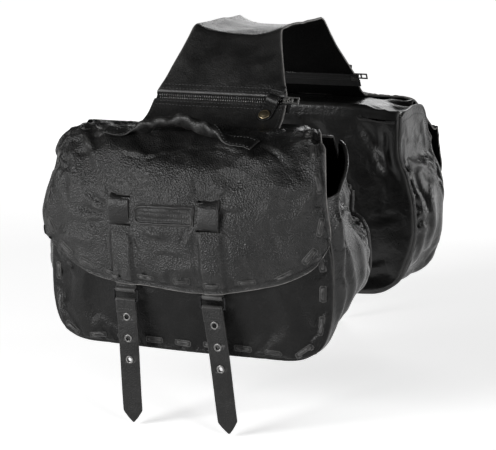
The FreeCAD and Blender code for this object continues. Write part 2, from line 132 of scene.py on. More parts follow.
def smooth_rows(rows, count):
    """A smooth curve through the rows of an array, at count even steps of its index."""
    t = np.linspace(0, len(rows) - 1, count)
    i = np.minimum(t.astype(int), len(rows) - 2)
    f = (t - i)[:, None]
    ends = np.vstack([2 * rows[0] - rows[1], rows, 2 * rows[-1] - rows[-2]])
    a, b, c, d = ends[i], ends[i + 1], ends[i + 2], ends[i + 3]
    return b + 0.5 * f * (c - a + f * (2 * a - 5 * b + 4 * c - d + f * (3 * b - a - 3 * c + d)))


def run_of(line):
    """The distance along a line at each of its points."""
    return np.concatenate([[0], np.cumsum(np.linalg.norm(np.diff(line, axis=0), axis=1))])


def looked_up(where, run, values):
    """The values that belong to the distances in run, at other distances."""
    return np.stack([np.interp(where, run, column) for column in values.T], -1)


def resample(points, count):
    """A smooth curve through the points, with count points evenly spaced along it."""
    p = np.asarray(points, float)
    dense = smooth_rows(p, 60 * len(p))
    run = run_of(dense)
    return looked_up(np.linspace(0, run[-1], count), run, dense)


def unit(v):
    return v / np.maximum(np.linalg.norm(v, axis=-1, keepdims=True), 1e-9)


def patch(top, bottom, left, right, rows, cols):
    """A grid that fills four boundary curves: top and bottom run with the columns."""
    top, bottom = resample(top, cols), resample(bottom, cols)
    left, right = resample(left, rows), resample(right, rows)
    u = np.linspace(0, 1, cols)[None, :, None]
    v = np.linspace(0, 1, rows)[:, None, None]
    across = (1 - u) * left[:, None] + u * right[:, None]
    down = (1 - v) * top[None] + v * bottom[None]
    corners = (1 - u) * (1 - v) * top[0] + u * (1 - v) * top[-1]
    corners = corners + (1 - u) * v * bottom[0] + u * v * bottom[-1]
    return across + down - corners


def grid_normals(grid):
    """Unit normals, along the cross product of the column and row directions."""
    return unit(np.cross(np.gradient(grid, axis=1), np.gradient(grid, axis=0)))


def facing(grid, row, column, axis):
    """1 or -1: the way along an axis that a grid's normals point, told from one of its points."""
    return np.sign(grid_normals(grid)[row, column, axis])


def steps_from_edge(rows, cols):
    """How many steps each point of a grid is from its border, the first row not counted."""
    across = np.minimum(np.arange(cols), np.arange(cols)[::-1])
    return np.minimum(across[None], np.arange(rows)[::-1][:, None])


def with_x(x, pairs):
    """Points (x, reach, z) from x and (reach, z) pairs."""
    x, reach, z = np.broadcast_arrays(np.asarray(x, float), pairs[..., 0], pairs[..., 1])
    return np.stack([x, reach, z], -1)


# ---- making objects ---------------------------------------------------------------------------

def placed(points, sign):
    p = np.asarray(points, float).reshape(-1, 3)
    return np.stack([p[:, 0], sign * p[:, 1], p[:, 2]], -1) / 1000.0


def add(name, points, faces, sign, materials, marks=None):
    """A mesh object from points of one side, with its faces turned outwards."""
    mesh = bpy.data.meshes.new(name)
    mesh.from_pydata(placed(points, sign).tolist(), [], faces)
    for material in materials:
        mesh.materials.append(material)
    if marks is not None:
        mesh.polygons.foreach_set("material_index", np.asarray(marks, np.int32))
    work = bmesh.new()
    work.from_mesh(mesh)
    bmesh.ops.remove_doubles(work, verts=work.verts, dist=1e-6)
    bmesh.ops.recalc_face_normals(work, faces=work.faces)
    work.to_mesh(mesh)
    work.free()
    mesh.polygons.foreach_set("use_smooth", np.ones(len(mesh.polygons), bool))
    mesh.update()
    thing = bpy.data.objects.new(name, mesh)
    scene.collection.objects.link(thing)
    return thing


def grid_faces(rows, cols, start=0, closed=False):
    r = np.arange(rows - 1)[:, None]
    c = np.arange(cols if closed else cols - 1)[None, :]
    a = r * cols + c
    b = r * cols + (c + 1) % cols
    quads = np.stack([a, b, b + cols, a + cols], -1).reshape(-1, 4) + start
    return quads.tolist()


def border(rows, cols):
    """Indices of a grid's border, once round."""
    top = [(0, c) for c in range(cols - 1)]
    right = [(r, cols - 1) for r in range(rows - 1)]
    bottom = [(rows - 1, c) for c in range(cols - 1, 0, -1)]
    left = [(r, 0) for r in range(rows - 1, 0, -1)]
    return top + right + bottom + left


def hide(name, grid, thick, sign, materials, inwards=1.0, lip=0.4, turned=()):
    """Leather of some thickness behind a grid, with a rounded cut edge in the second material.

    A third material is for its inside. The turned edges, of top, right, bottom and left, are folded
    over, so they take the first material.
    """
    rows, cols, _ = grid.shape
    normal = grid_normals(grid) * inwards
    inner = grid + normal * thick
    loop = border(rows, cols)
    r, c = np.array([p[0] for p in loop]), np.array([p[1] for p in loop])
    r_in = np.clip(r, 1, rows - 2)
    c_in = np.clip(c, 1, cols - 2)
    out = unit(grid[r, c] - grid[r_in, c_in]) * thick * lip
    middle = (grid[r, c] + inner[r, c]) / 2 + out
    points = np.concatenate([grid.reshape(-1, 3), inner.reshape(-1, 3), middle])
    count = rows * cols
    faces = grid_faces(rows, cols)
    faces += [f[::-1] for f in grid_faces(rows, cols, count)]
    # with three materials the inside faces take the third, a near-black leather that is painted
    # shade
    marks = [0] * (len(faces) // 2) + [2 if len(materials) > 2 else 0] * (len(faces) // 2)
    edges = ["top"] * (cols - 1) + ["right"] * (rows - 1)
    edges += ["bottom"] * (cols - 1) + ["left"] * (rows - 1)
    n = len(loop)
    flat_index = (r * cols + c).tolist()
    for k in range(n):
        j = (k + 1) % n
        a, b = flat_index[k], flat_index[j]
        ma, mb = 2 * count + k, 2 * count + j
        faces.append([b, a, ma, mb])
        faces.append([mb, ma, a + count, b + count])
        marks += [0 if edges[k] in turned else 1] * 2
    return add(name, points, faces, sign, materials, marks)


def swept(centres, across, normal, half_width, half_thick, power=4.0, around=16):
    """Points and faces of a bar with a rounded section, swept along a line of centres."""
    rows = len(centres)
    angle = around_once(around)
    power = np.broadcast_to(power, (rows,))[:, None]
    co, si = np.cos(angle)[None], np.sin(angle)[None]
    w, t = signed_power(co, 2 / power), signed_power(si, 2 / power)
    half_width = np.broadcast_to(half_width, (rows,))[:, None, None]
    half_thick = np.broadcast_to(half_thick, (rows,))[:, None, None]
    across, normal = (np.broadcast_to(axis, centres.shape)[:, None] for axis in (across, normal))
    ring = centres[:, None] + across * w[..., None] * half_width
    ring = ring + normal * t[..., None] * half_thick
    faces = grid_faces(rows, around, closed=True)
    faces.append(list(range(around))[::-1])
    faces.append([(rows - 1) * around + k for k in range(around)])
    return ring.reshape(-1, 3), faces


def directions(line, flat_towards):
    """Unit vectors along, across and normal to a line, the normal nearest to flat_towards."""
    along = unit(np.gradient(line, axis=0))
    across = unit(np.cross(along, flat_towards))
    return along, across, unit(np.cross(across, along))


def strap(path, flat_towards, half_width, half_thick, bow=0.0):
    """A flat strap along a path, its face turned to flat_towards and moved that way by bow."""
    _, across, normal = directions(path, flat_towards)
    return swept(path + normal * bow, across, normal, half_width, half_thick, 7.0, 24)


def lathe(profile, around=32):
    """Points and faces of a turned shape about the third axis from (radius, height) pairs."""
    profile = np.asarray(profile, float)
    angle = around_once(around)
    ring = np.stack([
        profile[:, :1] * np.cos(angle),
        profile[:, :1] * np.sin(angle),
        np.repeat(profile[:, 1:], around, axis=1),
    ], -1)
    return ring.reshape(-1, 3), grid_faces(len(profile), around, closed=True)


def joined(parts):
    """Several (points, faces) as one."""
    points, faces, start = [], [], 0
    for p, f in parts:
        points.append(np.asarray(p).reshape(-1, 3))
        faces += [[i + start for i in face] for face in f]
        start += len(points[-1])
    return np.concatenate(points), faces


def stamped(shape, origins, x_axes, y_axes, z_axes):
    """Copies of one small shape, each in its own frame, as one set of points and faces."""
    points, faces = shape
    origins = np.asarray(origins, float)
    axes = np.stack([np.broadcast_to(a, origins.shape) for a in (x_axes, y_axes, z_axes)], 1)
    world = origins[:, None] + np.einsum("ki,nij->nkj", points, axes)
    return joined([(copy, faces) for copy in world])


def cut_out(thing, shape, sign):
    """Cuts closed (points, faces) out of a closed mesh object."""
    cutter = add("cutter", *shape, sign, [EDGE_DARK])
    modifier = thing.modifiers.new("cut", "BOOLEAN")
    modifier.operation = "DIFFERENCE"
    modifier.solver = "EXACT"
    modifier.object = cutter
    bpy.context.view_layer.update()
    graph = bpy.context.evaluated_depsgraph_get()
    mesh = bpy.data.meshes.new_from_object(thing.evaluated_get(graph))
    thing.modifiers.clear()
    thing.data = mesh
    bpy.data.objects.remove(cutter)
    mesh.polygons.foreach_set("use_smooth", np.ones(len(mesh.polygons), bool))


def settle(grid, pinned, sign, grow, frames, cap, bend):
    """Lets a grid of leather buckle as cloth between its pinned points, and returns it moved.

    It grows by a share of its size, so that it buckles, and no point moves by more than cap.
    """
    rows, cols, _ = grid.shape
    thing = add("settling", grid, grid_faces(rows, cols), sign, [])
    group = thing.vertex_groups.new(name="pin")
    group.add(np.flatnonzero(pinned).tolist(), 1.0, "REPLACE")
    cloth = thing.modifiers.new("cloth", "CLOTH")
    s = cloth.settings
    s.quality = 6
    s.mass = 0.15
    s.tension_stiffness = 20
    s.compression_stiffness = 20
    s.shear_stiffness = 10
    s.bending_stiffness = bend
    s.shrink_min = -grow
    s.shrink_max = -grow
    s.vertex_group_mass = "pin"
    s.effector_weights.gravity = 0.0
    cloth.collision_settings.use_collision = False
    cloth.point_cache.frame_start = 1
    cloth.point_cache.frame_end = frames
    for step in range(1, frames + 1):
        scene.frame_set(step)
    graph = bpy.context.evaluated_depsgraph_get()
    result = thing.evaluated_get(graph).to_mesh()
    moved = np.zeros(len(result.vertices) * 3)
    result.vertices.foreach_get("co", moved)
    moved = moved.reshape(rows, cols, 3) * 1000.0
    moved[..., 1] *= sign
    bpy.data.objects.remove(thing)
    scene.frame_set(1)
    shift = moved - grid
    length = np.linalg.norm(shift, axis=-1, keepdims=True)
    return grid + shift * np.tanh(length / cap) * cap / np.maximum(length, 1e-6)


def refined(grid, rows, cols):
    """The same grid with more rows and columns, smoothly filled in."""
    def along_first(g, count):
        return smooth_rows(g.reshape(len(g), -1), count).reshape(count, *g.shape[1:])

    return along_first(along_first(grid, rows).swapaxes(0, 1), cols).swapaxes(0, 1)


# ---- materials --------------------------------------------------------------------------------

class Nodes:
    """Short forms for building a material's node tree."""

    def __init__(self, name):
        self.material = bpy.data.materials.new(name)
        self.material.use_nodes = True
        self.tree = self.material.node_tree
        self.shader = self.tree.nodes["Principled BSDF"]
        self.place = self.new("ShaderNodeTexCoord").outputs["Object"]

    def new(self, kind, sockets=(), **values):
        node = self.tree.nodes.new(kind)
        for key, value in values.items():
            setattr(node, key, value)
        for key, value in dict(sockets).items():
            self.put(node, key, value)
        return node

    def link(self, a, b):
        self.tree.links.new(a, b)

    def put(self, node, key, value):
        if hasattr(value, "is_output"):
            self.link(value, node.inputs[key])
        else:
            node.inputs[key].default_value = value

    def math(self, kind, a, b=0.0, clamp=False):
        return self.new("ShaderNodeMath", {0: a, 1: b}, operation=kind, use_clamp=clamp).outputs[0]

    def noise(self, scale, detail=3.0, rough=0.55, warp=0.0):
        return self.new("ShaderNodeTexNoise", {
            "Vector": self.place, "Scale": scale, "Detail": detail, "Roughness": rough,
            "Distortion": warp,
        }).outputs["Fac"]

    def cells(self, scale, feature="F1", place=None):
        sockets = {"Vector": place or self.place, "Scale": scale}
        return self.new("ShaderNodeTexVoronoi", sockets, feature=feature).outputs["Distance"]

    def bands(self, direction, scale):
        sockets = {"Vector": self.place, "Scale": scale}
        return self.new("ShaderNodeTexWave", sockets, bands_direction=direction).outputs["Fac"]

    def span(self, value, low, high, to_low=0.0, to_high=1.0):
        return self.new("ShaderNodeMapRange", {
            "Value": value, "From Min": low, "From Max": high, "To Min": to_low, "To Max": to_high,
        }, clamp=True).outputs["Result"]

    def mix(self, amount, a, b):
        return self.new("ShaderNodeMix", {0: amount, 6: a, 7: b}, data_type="RGBA").outputs[2]

    def vectors(self, kind, sockets):
        return self.new("ShaderNodeVectorMath", sockets, operation=kind)

    def moved(self, amount, scale):
        """Coordinates pushed about by noise, to break up regular patterns."""
        sockets = {"Vector": self.place, "Scale": scale, "Detail": 2.0}
        cloud = self.new("ShaderNodeTexNoise", sockets).outputs["Color"]
        push = self.vectors("SCALE", {0: cloud, "Scale": amount}).outputs[0]
        return self.vectors("ADD", {0: push, 1: self.place}).outputs[0]

    def bumps(self, layers):
        """Stacked bumps: (height, depth in metres, strength) each."""
        before = None
        for height, depth, strength in layers:
            sockets = {"Height": height, "Distance": depth, "Strength": strength}
            node = self.new("ShaderNodeBump", sockets)
            if before is not None:
                self.link(before, node.inputs["Normal"])
            before = node.outputs["Normal"]
        self.link(before, self.shader.inputs["Normal"])


def grey(value, warm=0.0):
    return (value * (1 + warm), value, value * (1 - warm), 1.0)


def leather(name, base, worn, rough, grain=1.0, creases=1.0, shine=0.26):
    """Black leather: pebble grain, creases, uneven dye and lighter worn ridges."""
    n = Nodes(name)
    pushed = n.moved(0.012, 60.0)
    pebble = n.cells(560.0)
    fine = n.noise(1900.0, 2.0)
    pores = n.span(n.cells(300.0, place=pushed), 0.0, 0.3)
    veins = n.span(n.cells(120.0, "DISTANCE_TO_EDGE", pushed), 0.0, 0.16)
    folds = n.noise(48.0, 2.5, 0.5, 0.6)
    patches = n.noise(13.0, 3.0, 0.6, 0.5)
    where = n.span(n.noise(24.0, 2.0), 0.42, 0.62)
    rubbed = n.span(n.noise(60.0, 5.0, 0.7, 0.4), 0.50, 0.78)
    edges = n.span(n.new("ShaderNodeNewGeometry").outputs["Pointiness"], 0.51, 0.58)
    wear = n.math("MULTIPLY", edges, n.span(folds, 0.35, 0.7, 0.35, 1.0))
    wear = n.math("ADD", wear, n.math("MULTIPLY", rubbed, 0.20), clamp=True)
    dyed = n.mix(n.span(patches, 0.35, 0.68), grey(base * 0.6, 0.01), grey(base * 1.35, 0.02))
    dyed = n.mix(n.span(pebble, 0.25, 0.75, 0.0, 0.45), dyed, grey(base * 0.35))
    n.put(n.shader, "Base Color", n.mix(wear, dyed, grey(worn, 0.015)))
    gloss = n.span(patches, 0.3, 0.7, rough - 0.07, rough + 0.08)
    gloss = n.math("ADD", gloss, n.span(fine, 0.3, 0.7, -0.04, 0.04))
    n.put(n.shader, "Roughness", n.math("ADD", gloss, n.math("MULTIPLY", wear, 0.08)))
    n.shader.inputs["Specular IOR Level"].default_value = shine
    n.bumps([
        (folds, 0.0030, 0.32 * creases),
        (n.math("MULTIPLY", veins, where), 0.0006, 0.13 * creases),
        (pebble, 0.00055, 0.75 * grain),
        (pores, 0.00035, 0.30 * grain),
        (fine, 0.00010, 0.35 * grain),
    ])
    return n.material


def raw_edge(name, base):
    """Cut leather edge: fibrous, paler, rubbed dark in places."""
    n = Nodes(name)
    fibre = n.noise(900.0, 4.0, 0.7, 1.0)
    patches = n.noise(70.0, 3.0, 0.6)
    dyed = n.mix(n.span(patches, 0.35, 0.65), grey(base * 0.55, 0.03), grey(base, 0.04))
    n.put(n.shader, "Base Color", dyed)
    n.put(n.shader, "Roughness", n.span(fibre, 0.3, 0.7, 0.55, 0.8))
    n.bumps([(fibre, 0.0003, 0.6)])
    return n.material


def metal(name, colour, dark, rough, scratch=0.5):
    """Worn metal with patches of tarnish and fine scratches."""
    n = Nodes(name)
    tarnish = n.span(n.noise(420.0, 5.0, 0.7, 0.6), 0.38, 0.68)
    lines = n.noise(3000.0, 2.0, 0.6, 3.0)
    n.put(n.shader, "Base Color", n.mix(tarnish, dark, colour))
    n.shader.inputs["Metallic"].default_value = 1.0
    n.put(n.shader, "Roughness", n.span(tarnish, 0.0, 1.0, rough + 0.22, rough))
    n.bumps([(lines, 0.00004, scratch)])
    return n.material


def cloth_tape(name):
    """Woven zip tape, ribbed along its length."""
    n = Nodes(name)
    weave = n.math("MULTIPLY", n.bands("X", 420.0), n.bands("Z", 380.0))
    fluff = n.noise(1500.0, 3.0)
    n.put(n.shader, "Base Color", n.mix(weave, grey(0.004), grey(0.013)))
    n.put(n.shader, "Roughness", n.span(fluff, 0.3, 0.7, 0.75, 0.95))
    n.shader.inputs["Sheen Weight"].default_value = 0.05
    n.shader.inputs["Specular IOR Level"].default_value = 0.12
    n.bumps([(weave, 0.0003, 0.7), (fluff, 0.0001, 0.4)])
    return n.material


def thread(name, base):
    """Twisted sewing thread."""
    n = Nodes(name)
    twist = n.bands("DIAGONAL", 900.0)
    n.put(n.shader, "Base Color", n.mix(twist, grey(base * 0.5), grey(base)))
    n.put(n.shader, "Roughness", n.span(n.noise(800.0), 0.3, 0.7, 0.5, 0.7))
    n.bumps([(twist, 0.0002, 0.6)])
    return n.material


LEATHER_BODY = leather("body_leather", 0.0100, 0.060, 0.37, 1.5)
LEATHER_GUSSET = leather("gusset_leather", 0.0080, 0.050, 0.28, 0.6, 1.1, 0.36)
LEATHER_BACK = leather("back_leather", 0.0090, 0.035, 0.33, 0.3, 1.4, 0.30)
LEATHER_PANEL = leather("panel_leather", 0.0060, 0.030, 0.39, 0.8, 1.2, 0.15)
LEATHER_YOKE = leather("yoke_leather", 0.0135, 0.060, 0.38, 0.7, 1.0, 0.34)
LEATHER_STRAP = leather("strap_leather", 0.0085, 0.060, 0.40, 0.7, 0.5, 0.22)
LEATHER_LACE = leather("lace_leather", 0.0090, 0.080, 0.38, 0.5, 0.3, 0.24)
# the inside faces: near-black and hardly glossy, painted shade for the insides of the pieces
INSIDE_PAINTED_SHADE = leather("flesh_side_painted_shade", 0.0020, 0.005, 0.85, 1.2, 0.5, 0.04)
LEATHER_RIM = leather("rim_leather", 0.0105, 0.060, 0.40, 0.5, 0.3)
EDGE_LIGHT = raw_edge("cut_edge_light", 0.20)
EDGE_DARK = raw_edge("cut_edge_dark", 0.05)
# a near-black edge for the sheets in the lace slots: painted shade in the gaps
SLOT_PAINTED_SHADE = raw_edge("slot_painted_shade", 0.006)
NICKEL = metal("nickel", (0.46, 0.455, 0.44, 1), (0.10, 0.098, 0.095, 1), 0.30)
ZIP_METAL = metal("zip_metal", (0.55, 0.545, 0.54, 1), (0.06, 0.06, 0.06, 1), 0.34)
BRASS = metal("antique_brass", (0.42, 0.35, 0.23, 1), (0.12, 0.095, 0.06, 1), 0.33)
BLACK_METAL = metal("black_metal", (0.030, 0.030, 0.031, 1), (0.012, 0.012, 0.012, 1), 0.42)
EYELET = metal("eyelet_metal", (0.26, 0.255, 0.25, 1), (0.06, 0.06, 0.06, 1), 0.32)
TAPE = cloth_tape("zip_tape")
THREAD = thread("sewing_thread", 0.05)


def finish_piece(thing, body, slot, *nodes):
    """Rides a piece on its body and hides the CAD nodes that it stands for. The slot, its finish,
    is not used.
    """
    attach(thing, body)
    if nodes:
        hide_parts(*nodes)
    return thing


def add_piece(name, shape, sign, material, body, slot, *nodes):
    """Adds (points, faces) in one material, as a finished piece of a body."""
    return finish_piece(add(name, *shape, sign, [material]), body, slot, *nodes)


# ---- stitches and lace ------------------------------------------------------------------------

def bead(length, width, height, rows=7, around=8, sink=0.35):
    """A rounded stitch lying along the first axis, its ends dipping into the leather."""
    t = np.linspace(-1, 1, rows)
    width_here = width / 2 * (1 - np.abs(t) ** 5) ** 0.5 + 0.02
    height_here = height / 2 * (1 - np.abs(t) ** 6) ** 0.5 + 0.02
    rise = height * 0.5 * (1 - np.abs(t) ** 3) - height * sink
    centre = np.stack([t * length / 2, 0 * t, rise], -1)
    return swept(centre, Y_AXIS, Z_AXIS, width_here, height_here, 2.6, around)


def along_line(line, normals, pitch, first=0.5):
    """Origins and axes at an even pitch along a line with a normal at each of its points."""
    run = run_of(line)
    count = max(1, int(run[-1] / pitch))
    where = (np.arange(count) + first) * run[-1] / count
    n = unit(looked_up(where, run, np.broadcast_to(normals, line.shape)))
    along = unit(looked_up(where, run, np.gradient(line, axis=0)))
    across = unit(np.cross(n, along))
    return looked_up(where, run, line), unit(np.cross(across, n)), across, n


def stitched(line, normals, pitch=4.2, length=3.1, width=0.75, height=0.6):
    """A row of stitches along a line."""
    return stamped(bead(length, width, height, 5, 6), *along_line(line, normals, pitch))


# ---- surfaces ---------------------------------------------------------------------------------

def on_zip(x, down, out):
    """A point in the plane of the zip: down from the middle of its chain, and out from it."""
    x, down, out = np.broadcast_arrays(np.asarray(x, float), down, out)
    below = HEM_GAP + down
    reach = HEM_REACH + math.cos(SLOPE) * below + math.sin(SLOPE) * out
    z = HEM_Z - math.sin(SLOPE) * below + math.cos(SLOPE) * out
    return np.stack([x, reach, z], -1)


ZIP_DOWN = on_zip(0, 1, 0) - on_zip(0, 0, 0)
ZIP_OUT = on_zip(0, 0, 1) - on_zip(0, 0, 0)

OUTLINE_HALF = [
    (148, -106), (148, -165), (158, -195), (167, -228), (170, -262), (169, -300), (161, -328),
    (146, -342), (126, -348), (90, -348), (45, -348), (0, BAG_BOTTOM),
]
OUTLINE = resample(OUTLINE_HALF + [(-x, z) for x, z in OUTLINE_HALF[-2::-1]], 900)
OUTLINE_RUN = run_of(OUTLINE)
OUTLINE_LENGTH = OUTLINE_RUN[-1]


def outline_at(distance):
    """The x and z of the bag's outline, at a distance along it from its top at +X."""
    return [np.interp(distance, OUTLINE_RUN, column) for column in OUTLINE.T]


def panel_reach(x, z):
    """The reach of the front panel's bulged face."""
    across = np.maximum(0.0, 1 - (x / 170.0) ** 2)
    span = np.where(z < -245.0, 103.0, 80.0)
    loss = np.where(z < -245.0, 0.55, 0.2)
    return FRONT_REACH + 34.0 * across * (1 - loss * ((z + 245.0) / span) ** 2)


FLAP_PATH = resample([
    (175.5, -101.75), (205, -99.5), (232, -105), (252, -120), (264.5, -146), (270.5, -180),
    (272.5, -215), (272.5, -245), (271.5, -272), (271.0, -280),
], 600)
FLAP_RUN = run_of(FLAP_PATH)


def flap_surface(x, d):
    """A point of the flap's outer face, x from its middle and d along it from the hinge."""
    reach, z = (np.interp(d, FLAP_RUN, column) for column in FLAP_PATH.T)
    scale = 1 - 0.75 * (x / 177.0) ** 2
    reach = np.where(reach > FRONT_REACH, FRONT_REACH + (reach - FRONT_REACH) * scale, reach)
    return np.stack([x + FLAP_SHIFT, reach, z], -1)


class Surface:
    """A finished grid that can be looked up by the flat plan it was made from."""

    def __init__(self, grid, plan, outward):
        self.grid = grid.reshape(-1, 3)
        self.normal = (grid_normals(grid) * outward).reshape(-1, 3)
        flat = plan.reshape(-1, 2)
        self.tree = KDTree(len(flat))
        for index, (a, b) in enumerate(flat.tolist()):
            self.tree.insert((a, b, 0.0), index)
        self.tree.balance()

    def find(self, a, b):
        """The places and normals at points of the plan."""
        places, normals = [], []
        for p, q in zip(np.ravel(a).tolist(), np.ravel(b).tolist()):
            near = self.tree.find_n((p, q, 0.0), 6)
            index = [n[1] for n in near]
            weight = np.array([1 / (n[2] ** 2 + 0.05) for n in near])
            weight = weight / weight.sum()
            places.append(weight @ self.grid[index])
            normals.append(weight @ self.normal[index])
        return np.array(places), unit(np.array(normals))

    def laid(self, shape, centres, angles, scales):
        """Copies of a flat shape laid on the surface, following its bends."""
        points, faces = shape
        parts = []
        for (a, b), turn, scale in zip(centres, angles, scales):
            local = points * scale
            co, si = math.cos(turn), math.sin(turn)
            u = a + local[:, 0] * co - local[:, 1] * si
            v = b + local[:, 0] * si + local[:, 1] * co
            place, normal = self.find(u, v)
            parts.append((place + normal * local[:, 2:], faces))
        return joined(parts)


# ---- camera, light and floor ------------------------------------------------------------------

TARGET = Vector((-0.01634, 0.0, -0.25135))
AZIMUTH, ELEVATION, DISTANCE = math.radians(21.02), math.radians(11.583), 2.03995
LENS = 118.85
away = Vector((
    math.sin(AZIMUTH) * math.cos(ELEVATION),
    -math.cos(AZIMUTH) * math.cos(ELEVATION),
    math.sin(ELEVATION),
))
camera_data = bpy.data.cameras.new("camera")
camera_data.lens = LENS
camera_data.sensor_width = 36.0
camera = bpy.data.objects.new("camera", camera_data)
camera.location = TARGET + away * DISTANCE
camera.rotation_euler = (-away).to_track_quat("-Z", "Y").to_euler()
scene.collection.objects.link(camera)
bpy.context.scene.camera = camera


def plain(name, colour, rough):
    """A pale matt surface that glows a little more far out, so that it has no edge."""
    n = Nodes(name)
    speck = n.noise(6.0, 3.0)
    reach = n.vectors("LENGTH", {0: n.place}).outputs["Value"]
    n.put(n.shader, "Emission Strength", n.span(reach, 0.9, 2.6, 0.60, 1.0))
    n.put(n.shader, "Base Color", n.mix(speck, grey(colour * 0.98), grey(colour)))
    n.shader.inputs["Roughness"].default_value = rough
    n.shader.inputs["Emission Color"].default_value = (1.0, 1.0, 1.0, 1.0)
    return n.material


def make_floor():
    """A wide pale floor just below the tips of the straps."""
    radius = np.array([0.0, 0.6, 1.5, 4.0, 12.0, 40.0]) * 1000
    around = 64
    rings = lathe([(r, FLOOR_Z) for r in radius], around)
    floor = add("floor", *rings, 1.0, [plain("pale_floor", 0.88, 0.9)])


def area_light(name, location, target, size, power):
    data = bpy.data.lights.new(name, "AREA")
    data.shape = "RECTANGLE"
    data.size, data.size_y = size
    data.energy = power
    lamp = bpy.data.objects.new(name, data)
    lamp.location = location
    lamp.rotation_euler = (Vector(target) - Vector(location)).to_track_quat("-Z", "Y").to_euler()
    scene.collection.objects.link(lamp)


def make_world():
    """Soft light all round, brightest near the horizon and dim overhead."""
    world = bpy.data.worlds.new("studio")
    world.use_nodes = True
    tree = world.node_tree
    place = tree.nodes.new("ShaderNodeTexCoord")
    split = tree.nodes.new("ShaderNodeSeparateXYZ")
    tree.links.new(place.outputs["Generated"], split.inputs[0])
    fade = tree.nodes.new("ShaderNodeMapRange")
    for key, value in (("From Min", 0.10), ("From Max", 0.75), ("To Min", 1.0), ("To Max", 0.10)):
        fade.inputs[key].default_value = value
    tree.links.new(split.outputs["Z"], fade.inputs["Value"])
    tree.links.new(fade.outputs["Result"], tree.nodes["Background"].inputs["Strength"])
    scene.world = world


make_floor()
make_world()
area_light("key", (-1.3, -2.1, 0.40), (0, -0.1, -0.2), (1.1, 0.8), 62.0)
area_light("fill", (1.9, -1.7, 0.35), (0, -0.1, -0.2), (0.6, 0.8), 20.0)
area_light("side", (1.5, 1.9, 0.35), (0.1, 0, -0.2), (0.6, 1.0), 9.0)
area_light("back", (-0.3, 2.4, 0.75), (0, 0, -0.05), (1.6, 0.7), 14.0)
scene.view_settings.view_transform = "Standard"


# ---- yoke -------------------------------------------------------------------------------------

def yoke_line(count):
    """Half of the yoke's section from its hem up to its middle, as (reach, z) of the underside."""
    c, s = math.cos(SLOPE), math.sin(SLOPE)
    bend = 14.0
    run = bend * math.tan(SLOPE / 2)
    arc = [(FLAT_HALF - run + bend * math.sin(a), -bend + bend * math.cos(a))
           for a in np.linspace(SLOPE, 0, 7)]
    slope = [(HEM_REACH + c * k, HEM_Z - s * k) for k in np.linspace(0, -70, 6)]
    top = [(FLAT_HALF - run - k, 0.0) for k in (15, 30, 45, 60, FLAT_HALF - run)]
    return resample(slope + arc + top, count)


def make_yoke():
    """The sagging leather over the seat, with a double row of stitches above each zip."""
    half = yoke_line(70)
    line = np.concatenate([half * [-1, 1], half[-2::-1]])
    run = run_of(line)
    whole = run[-1]
    share = np.abs(run / whole * 2 - 1)[:, None]
    # half-length: narrow on top, sweeping out to the hems
    half_length = 54.0 + 26.0 * np.clip((share - 0.44) / 0.56, 0, 1) ** 1.25
    cols = 61
    u = np.linspace(-1, 1, cols)[None]
    grid = with_x(half_length * u, line[:, None])
    upward = facing(grid, len(line) // 2, cols // 2, 2)
    normal = grid_normals(grid) * upward
    outer = grid + normal * LEATHER
    middle = 1 - u ** 2
    crest = bell((share - 0.47) / 0.20)
    top = np.exp(-(share / 0.42) ** 4)
    outer[..., 2] -= 11.0 * middle * crest + 7.0 * middle * top * (1 - crest)
    outer[..., 1] -= np.sign(grid[..., 1]) * 3.0 * middle * crest
    outer[..., 2] += 1.5 * np.abs(u) ** 6 * top
    lumps = noise(outer, 34.0, 3) * 1.4 + noise(outer, 15.0, 4) * 0.5
    edge_free = 1 - smooth((share - 0.90) / 0.06)
    outer = outer + normal * (lumps * edge_free)[..., None]
    thing = hide("yoke_leather", outer, LEATHER, 1.0, [LEATHER_YOKE, EDGE_LIGHT, INSIDE_PAINTED_SHADE],
                 inwards=-upward, turned=("top", "bottom"))
    finish_piece(thing, "yoke", "leather", "yoke")
    # the double row of stitches above each zip
    for side, sign in SIDES:
        rows = []
        for above in (4.0, 9.5):
            xs = np.linspace(-ZIP_HALF, ZIP_HALF, 60) * (1 - above / 190.0)
            rows.append(stitched(on_zip(xs, -HEM_GAP - above, LEATHER + 0.05), ZIP_OUT))
        add_piece(f"{side}_hem_stitches", joined(rows), sign, THREAD, "yoke", "leather")


make_yoke()


# ---- zip --------------------------------------------------------------------------------------

def tooth():
    """One zip tooth: a rounded jaw whose head stops short of the slot for the slider's neck."""
    t = np.array([0.0, 0.08, 0.5, 0.78, 0.92, 1.0])
    centre = np.stack([0 * t, t * 2.8 - 0.1, 0 * t], -1)
    half_widths = np.array([0.45, 0.62, 0.62, 0.5, 0.58, 0.3])
    half_heights = np.array([0.7, 1.15, 1.2, 1.0, 1.0, 0.5])
    return swept(centre, X_AXIS, Z_AXIS, half_widths, half_heights, 3.2, 10)


